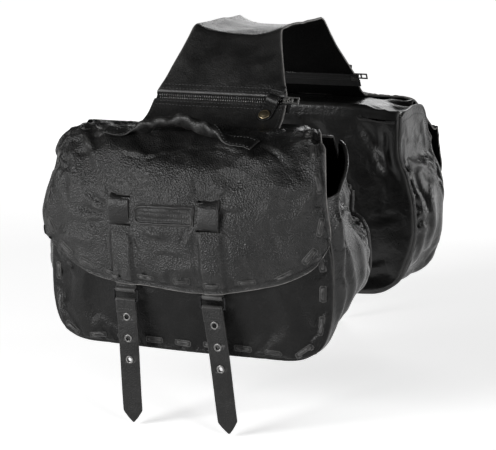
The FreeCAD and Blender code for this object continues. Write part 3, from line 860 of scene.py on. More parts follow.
def make_zip(side, sign):
    """Both rows of teeth, and the tape behind each."""
    tape_out = -0.7
    count = int(2 * ZIP_HALF / ZIP_PITCH)
    # steps down the tape from the middle of the chain: the yoke's is cut off at its seam
    near, sewn = np.linspace(0.1, 4.6, 9), np.linspace(5.15, 14.25, 8)
    for row, way, rest in (("upper", -1.0, sewn[:1]), ("lower", 1.0, sewn)):
        xs = -ZIP_HALF + 0.65 + ZIP_PITCH * (np.arange(count) + (0.5 if way > 0 else 0.0))
        origins = on_zip(xs, way * 3.15, tape_out)
        teeth = stamped(tooth(), origins, X_AXIS, -ZIP_DOWN * way, ZIP_OUT)
        add_piece(f"{side}_{row}_teeth", teeth, sign, ZIP_METAL,
                  f"{side}_bag", "zip_metal", f"{side}_zip_{row}_teeth")
        downs = np.concatenate([near, rest])
        xs = np.linspace(-ZIP_HALF - 4, ZIP_HALF + 9, 120)
        grid = on_zip(xs[None], way * downs[:, None], tape_out + 0.4)
        grid = grid + ZIP_OUT * (noise(grid, 9.0, 11) * 0.25)[..., None]
        cord = bell((downs - 3.9) / 0.5)
        under = 1 - smooth((downs - 2.4) / 0.9)
        grid = grid + ZIP_OUT * (0.45 * cord - 1.9 * under)[:, None, None]
        tape = hide(f"{side}_{row}_tape", grid, 0.8, sign, [TAPE, TAPE],
                    inwards=-np.sign(grid_normals(grid)[2, 2] @ ZIP_OUT))
        finish_piece(tape, f"{side}_bag", "zip_tape", f"{side}_zip_{row}_tape")


for side, sign in SIDES:
    make_zip(side, sign)


# ---- tongue -----------------------------------------------------------------------------------

TONGUE = resample([
    tuple(on_zip(0, HEM_GAP + 1.15, 0)[1:]), (146.5, -94.5), (157.0, -101.0), (165.0, -104.4),
    (172.0, -105.4),
], 60)
TONGUE_RUN = run_of(TONGUE)


def tongue_at(down):
    """The (reach, z) of the tongue's underside, at a distance down it from the zip."""
    return looked_up(down, TONGUE_RUN, TONGUE)


def tongue_out(down):
    """The direction out of the tongue there."""
    a, b = tongue_at(down - 0.5), tongue_at(down + 0.5)
    t = unit(b - a)
    return np.stack([-t[..., 1], t[..., 0]], -1)


def tongue_surface(x, down, out):
    x, down, out = np.broadcast_arrays(np.asarray(x, float), down, out)
    outwards = tongue_out(np.clip(down, 1.0, TONGUE_RUN[-1] - 1))
    return with_x(x, tongue_at(down) + outwards * out[..., None])


def make_tongue(side, sign):
    """The leather between the zip and the bag, stitched below the zip and at both ends."""
    rows, cols = 28, 90
    down = np.linspace(0, TONGUE_RUN[-1], rows)[:, None]
    u = np.linspace(-1, 1, cols)[None]
    half = 81.0 + 3.0 * down / TONGUE_RUN[-1]
    grid = tongue_surface(u * half, down, LEATHER)
    lumps = noise(grid, 22.0, 21 if sign < 0 else 22) * 0.8
    free = smooth(down / 8.0) * (1 - smooth((np.abs(u) - 0.93) / 0.05) * 0.5)
    free = free * (1 - bump((u * half - SNAP_X) / 14.0) * bump((down - SNAP_DOWN) / 14.0))
    grid[..., 2] += lumps * free
    thing = hide(f"{side}_tongue_leather", grid, LEATHER, sign,
                 [LEATHER_YOKE, EDGE_LIGHT, INSIDE_PAINTED_SHADE],
                 inwards=-facing(grid, rows // 2, cols // 2, 2), turned=("top",))
    finish_piece(thing, f"{side}_bag", "leather", f"{side}_tongue")
    seams = []
    for d in (2.5, 7.5):
        xs = np.linspace(-78, 78, 70)
        line = tongue_surface(xs, d, LEATHER + 0.1)
        row = int(d / TONGUE_RUN[-1] * rows)
        line[:, 2] += np.interp(xs, grid[row, :, 0], (lumps * free)[row])
        seams.append(stitched(line, with_x(0.0, tongue_out(np.array(d)))))
    for end in (-1, 1):
        ds = np.linspace(4, TONGUE_RUN[-1] - 4, 20)
        line = tongue_surface(end * (77.5 + 3.0 * ds / TONGUE_RUN[-1]), ds, LEATHER + 0.2)
        seams.append(stitched(line, with_x(0.0, tongue_out(ds))))
    add_piece(f"{side}_tongue_stitches", joined(seams), sign, THREAD, f"{side}_bag", "leather")


for side, sign in SIDES:
    make_tongue(side, sign)


# ---- bag body ---------------------------------------------------------------------------------

def crease(x, d, x0, d0, x1, d1, half, depth):
    """A valley along a line, with a soft ridge beside it."""
    dx, dd = x1 - x0, d1 - d0
    length = math.hypot(dx, dd)
    t = ((x - x0) * dx + (d - d0) * dd) / length
    s = ((x - x0) * dd - (d - d0) * dx) / length
    fade = smooth(t / (0.25 * length) + 0.6) * smooth((length - t) / (0.5 * length))
    ridge = 0.75 * bell((s - 1.3 * half) / half)
    return fade * depth * (ridge - bell(s / (0.6 * half)))


def body_patch(top_z, rows, cols):
    """A grid over the bag's outline below a height, as (x, z)."""
    start = np.interp(-top_z, -OUTLINE[:300, 1], OUTLINE_RUN[:300])
    # the bottom corner at +X, which is below z = -325 and nearest x = 152
    x, z = OUTLINE[:len(OUTLINE) // 2].T
    corner = OUTLINE_RUN[np.argmin(np.abs(x - 152) + np.where(z < -325, 0, 999))]

    def side_between(a, b):
        return np.stack(outline_at(np.linspace(a, b, 60)), -1)

    right = side_between(start, corner)
    left = side_between(OUTLINE_LENGTH - start, OUTLINE_LENGTH - corner)
    bottom = side_between(OUTLINE_LENGTH - corner, corner)
    top = np.stack([np.linspace(left[0, 0], right[0, 0], 60), np.full(60, top_z)], -1)
    return patch(top, bottom, left, right, rows, cols)


SLUMP = {"right": (64.0, 26.0), "left": (4.0, 40.0)}
TUCK = {"right": 1.0, "left": 0.45}


def slumped(points, side):
    """Soft corners: the top of the back sinks beyond the tongue, and the bottom tucks in behind."""
    p = np.array(points, float)
    x, reach, z = p[..., 0].copy(), p[..., 1], p[..., 2].copy()
    for way, drop in zip((1.0, -1.0), SLUMP[side]):
        corner = smooth((way * x - 92.0) / 54.0)
        high = smooth((z + 236.0) / 124.0)
        behind = 1 - smooth((reach - 116.0) / 50.0)
        p[..., 2] -= drop * corner * high * behind
    corner = smooth((np.abs(x) - 92.0) / 62.0)
    low = smooth((-z - 262.0) / 62.0)
    behind = 1 - smooth((reach - 150.0) / 78.0)
    tucked = np.where(x > 0, TUCK[side], 1.0) * corner * low * behind
    p[..., 0] -= np.sign(x) * 19.0 * tucked
    p[..., 2] += 9.0 * tucked
    return p


def make_front_panel(side, sign):
    """The bulged front. Returns its face, for what lies on it."""
    rows, cols = 56, 92
    fine = rows * 2 - 1, cols * 2 - 1
    flat = body_patch(-164.0, rows, cols)
    x, z = flat[..., 0], flat[..., 1]
    grid = np.stack([x, panel_reach(x, z), z], -1)
    pinned = (steps_from_edge(rows, cols) <= 1).astype(float)
    pinned[0] = 1.0
    soft = settle(grid, pinned, sign, grow=0.030, frames=18, cap=4.0, bend=3.0)
    grid = refined(soft, *fine)
    inner = smooth(steps_from_edge(*fine) / 9.0)
    outward = facing(grid, rows, cols, 1)
    normal = grid_normals(grid) * outward
    seed = 31 if sign < 0 else 41
    lumps = noise(grid, 48.0, seed) * 1.6 + noise(grid, 20.0, seed + 1) * 0.6
    grid = grid + normal * (lumps * inner)[..., None]
    # the sewn border lies a little lower than the panel
    grid = grid - normal * (1 - inner)[..., None]
    thing = hide(f"{side}_front_leather", grid, LEATHER, sign,
                 [LEATHER_PANEL, EDGE_DARK, INSIDE_PAINTED_SHADE], inwards=-outward)
    finish_piece(thing, f"{side}_bag", "leather", f"{side}_front_panel")
    return Surface(grid, refined(flat, *fine), outward)


def gusset_grid(rows, cols, ears):
    """The gusset from the back seam to the front one, and each point's distance from its rims."""
    back = BACK_REACH + LEATHER + GAP
    v = np.linspace(0, 1, rows)[:, None]
    u = np.linspace(0, 1, cols)[None]
    rim = smooth((v - 0.56) / 0.44)
    skip = 6.5 + 8.0 * smooth(1 - v / 0.15) + 53.5 * rim
    distance = skip + (OUTLINE_LENGTH - 2 * skip) * u
    x, z = outline_at(distance)
    reach = back + (panel_reach(x, z) - LEATHER - GAP - 0.2 - back) * v
    flank = np.minimum(1.0, np.abs(x) / 140.0) ** 3
    out = 7.0 * np.sin(math.pi * v) * flank
    # the rims bow outwards near the top, like an ear
    from_rim = np.minimum(distance - skip, OUTLINE_LENGTH - skip - distance)
    ear = bell(from_rim / 54.0) * bell((v - 0.77) / 0.21)
    out = out + ears * ear - 3.0 * bell(from_rim / 40.0) * bell((v - 0.40) / 0.14)
    out = out + 5.5 * flank * bell((v - 0.90) / 0.06)
    z = z - 5.0 * ear
    out = out * (1 - 0.9 * smooth((-z - 262.0) / 60.0) * smooth((np.abs(x) - 70.0) / 60.0))
    return np.stack([x + np.copysign(out, x), reach, z], -1), from_rim


def make_gusset(side, sign):
    """The folded leather round the sides and bottom, with its turned rims and their stitches."""
    rows, cols = 30, 190
    fine_rows, fine_cols = rows * 2 - 1, cols * 2 - 1
    grid, from_rim = gusset_grid(rows, cols, 22.0 if side == "right" else 5.0)
    pinned = np.zeros((rows, cols))
    pinned[:2] = pinned[-2:] = 1.0
    pinned[:, :3] = pinned[:, -3:] = 1.0
    soft = settle(grid, pinned, sign, grow=0.075, frames=22, cap=7.0, bend=0.8)
    free = smooth(from_rim / 70.0) * smooth((1 - np.linspace(0, 1, rows)[:, None]) / 0.26)
    soft = grid + (soft - grid) * free[..., None]
    grid = refined(soft, fine_rows, fine_cols)
    from_rim = refined(from_rim[..., None], fine_rows, fine_cols)[..., 0]
    v = np.linspace(0, 1, fine_rows)[:, None]
    u = np.linspace(0, 1, fine_cols)[None]
    outward = facing(grid, fine_rows // 2, 4, 0)
    normal = grid_normals(grid) * outward
    seed = 51 if sign < 0 else 61
    on_side = smooth(np.abs(u - 0.5) * 2 / 0.35 - 0.6)
    sweep = v * 7.5 + 1.7 * noise(grid, 70.0, seed) + 1.2 * np.sin(u * 9.0)
    folds = np.sin(sweep * math.pi) * (0.6 + 0.4 * noise(grid, 50.0, seed + 1))
    folds = signed_power(folds, 0.8)
    inner = smooth(v / 0.12) * smooth((1 - v) / 0.12) * smooth(from_rim / 50.0)
    inner = inner * (1 - 0.5 * smooth((-grid[..., 2] - 280.0) / 50.0))
    folds = folds * (1 - 0.6 * smooth((grid[..., 2] + 215.0) / 50.0))
    lumps = noise(grid, 26.0, seed + 2) * 1.2 + noise(grid, 11.0, seed + 3) * 0.4
    grid = grid + normal * ((2.6 * folds * (0.25 + 0.75 * on_side) + lumps) * inner)[..., None]
    grid = slumped(grid, side)
    thing = hide(f"{side}_gusset_leather", grid, LEATHER, sign,
                 [LEATHER_GUSSET, EDGE_DARK, INSIDE_PAINTED_SHADE], inwards=-outward)
    finish_piece(thing, f"{side}_bag", "gusset_leather", f"{side}_gusset")
    # the rims at the two ends are turned over and sewn
    normal = grid_normals(grid) * outward
    rims, seams = [], []
    for column in (0, fine_cols - 1):
        line = resample(grid[2:-1, column] - normal[2:-1, column] * LEATHER / 2, 90)
        _, across, up = directions(line, resample(normal[2:-1, column], 90))
        rims.append(swept(line, across, up, 1.9, 2.1, 2.6, 12))
    for column in (5, fine_cols - 6):
        line = resample(grid[4:-3, column] + normal[4:-3, column] * 0.1, 90)
        seams.append(stitched(line, resample(normal[4:-3, column], 90)))
    for name, shapes, material in (("rim", rims, LEATHER_GUSSET), ("stitches", seams, THREAD)):
        add_piece(f"{side}_gusset_{name}", joined(shapes), sign, material,
                  f"{side}_bag", "gusset_leather")


BACK_CREASES = [
    # from (x, z), to (x, z), half width, depth
    (96, -126, 166, -226, 11.0, 4.4), (30, -124, 132, -306, 15.0, 3.4),
    (-40, -140, 50, -262, 15.0, 2.4), (-120, -150, -70, -300, 14.0, 2.8),
    (126, -112, 134, -204, 8.0, 2.6), (64, -322, 158, -300, 8.0, 3.0),
    (112, -256, 158, -244, 6.0, 1.8), (-30, -320, 40, -332, 8.0, 1.8),
]


def make_back_panel(side, sign):
    """The slack back wall, with the folded shelf above it as one piece."""
    rows, cols = 50, 80
    flat = body_patch(-122.0, rows, cols)
    x, z = flat[..., 0], flat[..., 1]
    seed = 71 if sign < 0 else 81
    here = np.stack([x + 14 * np.sin(z / 40.0), 0 * x, z + 0.5 * x], -1)
    lumps = noise(here, 70.0, seed) * 3.6 + noise(here, 30.0, seed + 1) * 1.4 + 5.4
    for line in BACK_CREASES:
        lumps = lumps - crease(x, z, *line)
    beside_seam = bell((np.abs(x) - 128.0 - 0.10 * (z + 200)) / 9.0)
    lumps = lumps + 2.2 * beside_seam * smooth((z + 300) / 90.0)
    inner = smooth(steps_from_edge(rows, cols) / 6.0) * smooth(np.arange(rows) / 5.0)[:, None]
    wall = np.stack([x, BACK_REACH + np.maximum(lumps * inner + 0.6 * inner, -0.4), z], -1)
    bend = 6.0
    turn = np.linspace(0, math.pi / 2, 8)
    corner = np.stack([BACK_REACH + bend - bend * np.sin(turn),
                       BAG_TOP - bend + bend * np.cos(turn)], -1)
    shelf = [(172.0 - 10 * k, BAG_TOP) for k in range(7)] + [tuple(p) for p in corner]
    shelf += [(BACK_REACH, -117.0), (BACK_REACH, -121.0)]
    line = resample(shelf, 40)
    top = with_x(147.5 * np.linspace(-1, 1, cols)[None], line[:, None])
    slack = smooth((np.abs(top[..., 0]) - 86.0) / 14.0)
    top[..., 2] += (noise(top, 30.0, seed + 2) * 0.5 - 0.5
                    - 3.2 * slack * np.abs(noise(top, 17.0, seed + 3)))
    tuck = smooth((np.abs(top[..., 0]) - 100.0) / 40.0) * smooth((top[..., 1] - 97.0) / 8.0)
    top[..., 2] -= 6.0 * tuck * smooth((166.0 - top[..., 1]) / 14.0)
    grid = slumped(np.concatenate([top, wall]), side)
    thing = hide(f"{side}_back_leather", grid, LEATHER, sign,
                 [LEATHER_BACK, EDGE_DARK, INSIDE_PAINTED_SHADE],
                 inwards=facing(grid, 60, cols // 2, 1))
    finish_piece(thing, f"{side}_bag", "leather", f"{side}_back_panel")


def make_back_welt(side, sign):
    """The turned seam along the back of the gusset."""
    x, z = outline_at(np.linspace(10.0, OUTLINE_LENGTH - 10.0, 420))
    out = unit(np.stack([-np.gradient(z), 0 * x, np.gradient(x)], -1))
    centre = np.stack([x, np.full_like(x, BACK_REACH + 2.4), z], -1)
    centre = slumped(centre + out * (1.2 + 0.5 * noise(centre, 14.0, 91))[:, None], side)
    add_piece(f"{side}_back_welt", swept(centre, out, Y_AXIS, 3.2, 1.9, 2.4, 10), sign,
              LEATHER_GUSSET, f"{side}_bag", "gusset_leather")


def lace_positions():
    """The line of the body's lace, inside the panel's border, and the panel's normals on it."""
    inset, step = 10.0, 0.5
    x, z = outline_at(np.linspace(75, OUTLINE_LENGTH - 75, 500))
    tx, tz = np.gradient(x), np.gradient(z)
    run = np.hypot(tx, tz)
    x, z = x + tz / run * inset, z - tx / run * inset
    dx = panel_reach(x + step, z) - panel_reach(x - step, z)
    dz = panel_reach(x, z + step) - panel_reach(x, z - step)
    line = np.stack([x, panel_reach(x, z), z], -1)
    return line, unit(np.stack([-dx, np.ones_like(dx), -dz], -1))


LACE = bead(17.0, 3.6, 1.7, 11, 12, 0.30)


def stadium(length, width, count=28):
    """Points round a long slot, and their outward directions."""
    half, r = (length - width) / 2, width / 2
    angle = around_once(count) + math.pi / count
    co, si = np.cos(angle), np.sin(angle)
    square = np.stack([signed_power(co, 0.6), signed_power(si, 0.6), 0 * co], -1)
    ends = np.sign(co)[:, None] * X_AXIS * half
    return square * r + ends, np.stack([co, si, 0 * co], -1)


def slot_lip(length, width, tube, around=8):
    """The leather pulled up round a lace where it goes through its slots."""
    line, out = stadium(length, width)
    angle = around_once(around)
    ring = line[:, None] + out[:, None] * (np.cos(angle) * tube * 1.3)[None, :, None]
    ring[..., 2] += (np.sin(angle) * tube)[None] + tube * 0.15
    points = ring.reshape(-1, 3)
    # one row more than there is, taken back to the first
    faces = np.array(grid_faces(len(line) + 1, around, closed=True)) % len(points)
    return points, faces.tolist()


def slot_floor(length, width):
    """A near-black sheet in the gap round a lace: painted shade."""
    line, _ = stadium(length, width)
    upper = [line * scale + [0, 0, height]
             for scale, height in (([0, 0, 0], 0.45), ([0.7, 0.55, 0], 0.42), ([1, 1, 0], 0.30))]
    rings = upper + [ring - [0, 0, 0.9] for ring in upper[::-1]]
    return np.concatenate(rings), grid_faces(len(rings), len(line), closed=True)


LIP = slot_lip(20.0, 5.6, 0.50)
SLOT = slot_floor(19.6, 5.4)


def add_laces(side, sign, name, body, surface, centres, onward, seed, turn, lengths):
    """Lace stitches, a near-black sheet of painted shade in the slot under each, and the raised
    leather round it.

    Each is turned by up to turn and drawn out by a share between the two lengths, at random.
    """
    draws, count = np.random.RandomState(seed), len(centres)
    angles = np.arctan2(onward[:, 1], onward[:, 0]) + draws.uniform(-turn, turn, count)
    scales = np.stack([draws.uniform(*lengths, count), draws.uniform(0.9, 1.1, count),
                       np.ones(count)], -1)
    for kind, (points, faces), material, slot, raised, nodes in (
        ("lace", LACE, LEATHER_LACE, "lace", 0.45, [f"{side}_{name}_lacing"]),
        ("lace_lips", LIP, LEATHER_RIM, "leather", 0.05, []),
        # the slots: a near-black sheet, painted shade
        ("lace_slot_shade", SLOT, SLOT_PAINTED_SHADE, "leather", 0.05, []),
    ):
        laid = surface.laid((points + [0, 0, raised], faces), centres, angles, scales)
        add_piece(f"{side}_{name}_{kind}", laid, sign, material, body, slot, *nodes)


def make_body_lacing(side, sign, surface):
    origin, along, _, _ = along_line(*lace_positions(), 35.0)
    add_laces(side, sign, "body", f"{side}_bag", surface, origin[:, [0, 2]], along[:, [0, 2]],
              7 if sign < 0 else 8, 0.12, (0.9, 1.1))


for side, sign in SIDES:
    front_surface = make_front_panel(side, sign)
    make_gusset(side, sign)
    make_back_panel(side, sign)
    make_back_welt(side, sign)
    make_body_lacing(side, sign, front_surface)


# ---- flap -------------------------------------------------------------------------------------

FLAP_TOP = [(-132, 0), (-60, 0), (10, 0), (80, 0), (142, 0)]
FLAP_LEFT = [(-132, 0), (-133, 24), (-129, 43), (-137, 62), (-147, 91), (-142, 106), (-150, 122),
             (-158, 141), (-164, 163), (-161, 181), (-153, 194)]
FLAP_RIGHT = [(142, 0), (147, 14), (156, 35), (165, 60), (169, 75), (171.6, 107), (173, 131),
              (175, 147), (178, 168), (176.5, 183)]
FLAP_HEM = [(-153, 194), (-139, 209), (-109.5, 225), (-82, 232), (-47, 234.5), (-19.5, 235),
            (5, 237), (29, 238.7), (62, 237.6), (104.5, 230), (136, 221), (160.6, 207), (170, 194),
            (176.5, 183)]
# each strap's x where it comes out of its upper slit and where it reaches the hem
STRAPS = {"rear": (-54.5, -51.0), "front": (50.5, 56.0)}
SLITS = (137.0, 168.0)


CREASES = [
    # from (x, d), to (x, d), half width, depth
    (-70, 146, -104, 134, 5.0, 1.5), (-70, 156, -108, 158, 5.0, 1.6),
    (-70, 164, -100, 178, 5.0, 1.2), (-42, 136, -30, 112, 5.0, 1.2),
    (-66, 136, -74, 112, 5.0, 1.2), (-38, 168, -30, 196, 4.0, 1.2), (36, 134, 24, 112, 5.0, 1.0),
    (64, 136, 76, 110, 5.0, 1.3), (66, 152, 96, 146, 5.0, 1.2), (66, 166, 92, 178, 5.0, 1.0),
    (34, 170, 20, 194, 4.0, 1.3), (-20, 174, 14, 186, 5.0, 1.2), (-8, 196, 26, 204, 4.0, 0.8),
    (-60, 86, -31, 89, 4.0, 0.9), (-31, 89, -3, 81, 4.0, 0.9), (-3, 81, 47, 75, 4.0, 0.8),
    (47, 75, 84, 82, 5.0, 0.8), (-100, 70, -66, 60, 5.0, 1.3), (100, 60, 128, 92, 6.0, 1.6),
    (-120, 100, -96, 84, 6.0, 1.5), (112, 116, 150, 128, 6.0, 1.0),
    (-128, 130, -112, 168, 6.0, 1.1), (120, 150, 132, 190, 6.0, 1.1), (84, 196, 92, 216, 5.0, 0.9),
]


def flap_relief(x, d, seed):
    """How far the flap stands off its plain surface."""
    out = 0.0 * x
    for upper, lower in STRAPS.values():
        off = x - (upper + (lower - upper) * np.clip((d - 150.0) / 85.0, 0, 1))
        under = smooth((d - 167.0) / 14.0)
        out = out + 2.8 * under * smooth((15.5 - np.abs(off)) / 6.0)
        out = out - 0.8 * under * bell((np.abs(off) - 17.5) / 3.6)
        out = out - 1.8 * bump(off / 26.0) * bump((d - 133.0) / 9.0)
        out = out - 1.2 * bump(off / 22.0) * bump((d - 154.0) / 16.0)
    here = np.stack([x + 6 * np.sin(d / 21.0), d + 6 * np.sin(x / 27.0), 0 * x], -1)
    for line in CREASES:
        out = out + crease(here[..., 0], here[..., 1], *line)
    out = out + 2.6 * noise(here, 62.0, seed) + 1.2 * noise(here, 27.0, seed + 1)
    ridged = 1 - np.abs(noise(here * [1.0, 1.5, 1.0], 34.0, seed + 2)) * 2.2
    return out + 0.9 * np.clip(ridged, -1, 1) + 0.35 * noise(here, 9.0, seed + 3)


def slit_cutter(x, d):
    """A box through the flap, for one slit that a strap passes through."""
    centre = flap_surface(np.array(x), np.array(d))
    down = unit(flap_surface(np.array(x), np.array(d + 2.0)) - centre)
    out = unit(np.cross(X_AXIS, down))
    out = out * np.sign(out[1])
    box = np.array([[a, b, c] for a in (-12.9, 12.9) for b in (-1.0, 1.0) for c in (-14.0, 14.0)])
    corners = centre + box[:, :1] * X_AXIS + box[:, 1:2] * down + box[:, 2:] * out
    return corners, [[0, 1, 3, 2], [4, 6, 7, 5], [0, 4, 5, 1], [2, 3, 7, 6], [0, 2, 6, 4],
                     [1, 5, 7, 3]]


def make_flap(side, sign):
    """The flap's leather. Returns its face, for what lies on it."""
    seed = 101 if sign < 0 else 111
    rows, cols = 52, 74
    plan = patch(FLAP_TOP, FLAP_HEM, FLAP_LEFT, FLAP_RIGHT, rows, cols)
    grid = flap_surface(plan[..., 0], plan[..., 1])
    pinned = (steps_from_edge(rows, cols) <= 1).astype(float)
    pinned[:2] = 1.0
    soft = settle(grid, pinned, sign, grow=0.035, frames=20, cap=4.5, bend=2.5)
    fine_rows, fine_cols = rows * 3 - 2, cols * 3 - 2
    middle = fine_rows * 2 // 3, fine_cols // 2
    grid = refined(soft, fine_rows, fine_cols)
    plan = refined(plan, fine_rows, fine_cols)
    x, d = plan[..., 0], plan[..., 1]
    outward = facing(grid, *middle, 1)
    normal = grid_normals(grid) * outward
    settled = smooth(np.arange(fine_rows)[:, None] / 12.0)
    grid = grid + normal * (flap_relief(x, d, seed) * settled)[..., None]
    # a soft roll along the hem
    near = np.arange(fine_rows)[::-1][:, None] / 4.0
    grid = grid - normal * (1.4 * bell(near))[..., None]
    # puckers and a pressed groove inside the border, with steps of the grid in millimetres
    away = steps_from_edge(fine_rows, fine_cols) * 1.55
    here = np.stack([x, d, 0 * x], -1)
    pucker = noise(here, 21.0, seed + 5) * bell(away / 14.0)
    groove = bell((away - 4.0) / 1.3)
    grid = grid + normal * ((pucker - 0.7 * groove) * settled)[..., None]
    if side == "left":
        # the far end of this flap sinks over the slack corner of its bag
        sink = smooth((x - 62.0) / 76.0) * bell((d - 62.0) / 36.0)
        grid[..., 2] -= 42.0 * sink
        grid[..., 1] -= 5.0 * sink
    thing = hide(f"{side}_flap_leather", grid, LEATHER, sign,
                 [LEATHER_BODY, EDGE_LIGHT, INSIDE_PAINTED_SHADE], inwards=-outward)
    slits = [slit_cutter(upper, d) for upper, _ in STRAPS.values() for d in SLITS]
    cut_out(thing, joined(slits), sign)
    finish_piece(thing, f"{side}_flap", "leather", f"{side}_flap")
    return Surface(grid, plan, facing(grid, *middle, 1))


def make_flap_hinge(side, sign):
    """The soft leather that joins the flap to the bag."""
    line = resample([(172.8, -104.6), (174.6, -104.5), (177.0, -104.4), (180.5, -104.3)], 14)
    grid = with_x(FLAP_SHIFT + 5.0 + 136.0 * np.linspace(-1, 1, 60)[None], line[:, None])
    thing = hide(f"{side}_flap_hinge", grid, 1.2, sign, [LEATHER_BODY, EDGE_DARK, INSIDE_PAINTED_SHADE],
                 inwards=-facing(grid, 6, 30, 2))
    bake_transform(thing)


FLAP_LACE = [(-133, 60), (-140, 100), (-150.5, 145), (-148, 178), (-127, 202), (-97, 216),
             (-66, 225), (-24, 225), (19, 226), (54, 227), (92, 223), (131, 214), (156.5, 191),
             (167, 160), (163, 112), (156, 73), (143, 38)]


def make_flap_lacing(side, sign, surface):
    centres = np.array(FLAP_LACE, float)
    route = resample(FLAP_LACE, 600)
    last = len(route) - 1
    index = np.linalg.norm(route[None] - centres[:, None], axis=-1).argmin(axis=1)
    step = route[np.minimum(index + 2, last)] - route[np.maximum(index - 2, 0)]
    add_laces(side, sign, "flap", f"{side}_flap", surface, centres, step,
              17 if sign < 0 else 18, 0.10, (0.92, 1.12))


HANDLE = [
    (-97, 231, -104.0), (-88, 231, -103.6), (-71, 231, -103.0), (-58, 230, -101.5),
    (-47, 229, -97.5), (-36, 227, -94.5), (-22, 226, -93.2), (-7, 227, -90.5), (2, 228, -92.3),
    (11, 229, -95.0), (22, 231, -97.0), (31, 232, -99.3), (49, 234, -103.5), (66, 236, -107.0),
    (82, 237, -108.6),
]


def make_handle(side, sign, find):
    """Rolled leather carrying handle, flat at its sewn ends and twisted in the middle."""
    count, around = 150, 32
    centre = resample(HANDLE, count)
    t = np.linspace(-1, 1, count)
    lift = smooth((1 - np.abs(t) - 0.24) / 0.34)
    # where the handle lies down, it follows the flap's face
    tries = np.linspace(30, 95, 66)
    for index in np.flatnonzero(lift < 0.999):
        places, _ = find(np.full(len(tries), centre[index, 0] - FLAP_SHIFT), tries)
        lying = places[np.abs(places[:, 1] - centre[index, 1]).argmin(), 2] + 0.9
        centre[index, 2] = lying + (max(centre[index, 2], lying + 1.0) - lying) * lift[index]
    slope = np.radians(np.interp(t, [-1, 1], [-16.0, -26.0]))
    twist = slope + np.radians(72.0 * lift + 26.0 * np.sin(t * 6.5) * lift)
    along = unit(np.gradient(centre, axis=0))
    base_across = unit(np.cross(along, Z_AXIS))
    base_across = base_across * np.sign(base_across[:, 1:2])
    base_normal = unit(np.cross(base_across, along))
    base_normal = base_normal * np.sign(base_normal[:, 2:])
    co, si = np.cos(twist)[:, None], np.sin(twist)[:, None]
    across = base_across * co + base_normal * si
    normal = base_normal * co - base_across * si
    width = 9.6 - 1.6 * lift + 0.5 * np.sin(t * 21.0) * lift
    thick = 1.1 + 4.2 * lift + 0.4 * np.sin(t * 33.0 + 1.0) * lift
    points, faces = swept(centre, across, normal, width, thick, 3.0 - 0.7 * lift, around)
    middle = np.repeat(centre, around, axis=0)
    away_from_line = unit(points - middle)
    # spiral creases of the twist, and a wavy upper edge
    angle = np.tile(around_once(around), count)
    along_here = np.repeat(t, around)
    rolled = np.repeat(lift, around)
    spiral = np.sin(2 * angle + along_here * 24.0) + 0.6 * np.sin(angle - along_here * 37.0 + 1.0)
    x = middle[:, 0]
    wavy = smooth(np.sin((x + 3.0 + 5 * np.sin(x / 9.0)) * 2 * math.pi / 16.0) * 0.5 + 0.5)
    wavy = wavy * smooth(away_from_line[:, 2] * 1.6 - 0.3)
    wavy = wavy * smooth((x + 58.0) / 12.0) * smooth((26.0 - x) / 14.0)
    rough = noise(points, 14.0, 131) * 0.6 + noise(points, 6.0, 132) * 0.15 + 0.50 * spiral * rolled
    points = points + away_from_line * rough[:, None]
    points[:, 2] += 0.9 * wavy
    thing = add_piece(f"{side}_handle_leather", (points, faces), sign, LEATHER_STRAP,
                      f"{side}_flap", "strap_leather", f"{side}_handle")
    seams = []
    for part in (slice(2, 44), slice(count - 44, count - 2)):
        for edge in (-1, 1):
            line = centre[part] + across[part] * (edge * (width[part] - 2.2))[:, None]
            line = line + normal[part] * (thick[part] * 0.93)[:, None]
            seams.append(stitched(line, normal[part], 4.0, 2.9))
    add_piece(f"{side}_handle_stitches", joined(seams), sign, THREAD,
              f"{side}_flap", "strap_leather")


def make_badge(side, sign, find):
    """The plain embossed strip between the straps: a raised border round a pebbled field."""
    rows, cols = 26, 74
    u, v = np.meshgrid(np.linspace(-1, 1, cols), np.linspace(-1, 1, rows))
    half_x, half_d, middle_d = 35.0, 11.0, 154.0
    # a rounded end towards -X
    squeeze = np.sqrt(np.clip(1 - (np.clip((-u - 0.72) / 0.28, 0, 1)) ** 2 * 0.96, 0, 1))
    x = -1.0 + u * half_x
    d = middle_d + v * half_d * squeeze - u * 1.2
    places, normals = find(x, d)
    from_edge = np.minimum((1 - np.abs(u)) * half_x, (1 - np.abs(v)) * half_d * squeeze)
    height = 1.6 + 1.3 * bump((from_edge - 1.9) / 1.4) - 0.4 * smooth((from_edge - 3.2) / 1.0)
    wave = np.sin(x * 1.15) * np.sin((d - middle_d) * 0.55 + 1.57)
    height = height + 0.7 * smooth((from_edge - 4.0) / 1.5) * np.abs(wave)
    grid = places.reshape(rows, cols, 3) + normals.reshape(rows, cols, 3) * height[..., None]
    thing = hide(f"{side}_embossed_strip", grid, 2.0, sign, [LEATHER_STRAP, EDGE_DARK],
                 inwards=-facing(grid, rows // 2, cols // 2, 1))
    finish_piece(thing, f"{side}_flap", "strap_leather", f"{side}_badge_strip")


# the leather loop round a wire ring, as (radius, across)
EYE = [(1.75, -11.6), (1.75, 11.6), (2.8, 11.9), (3.0, 11.0), (3.0, -11.0), (2.8, -11.9),
       (1.75, -11.6)]


def eye_loop(x, z):
    """The leather loop round a wire ring at x and z."""
    points, faces = lathe(EYE, 24)
    return points[:, [2, 1, 0]] + [x, RING_REACH, z], faces


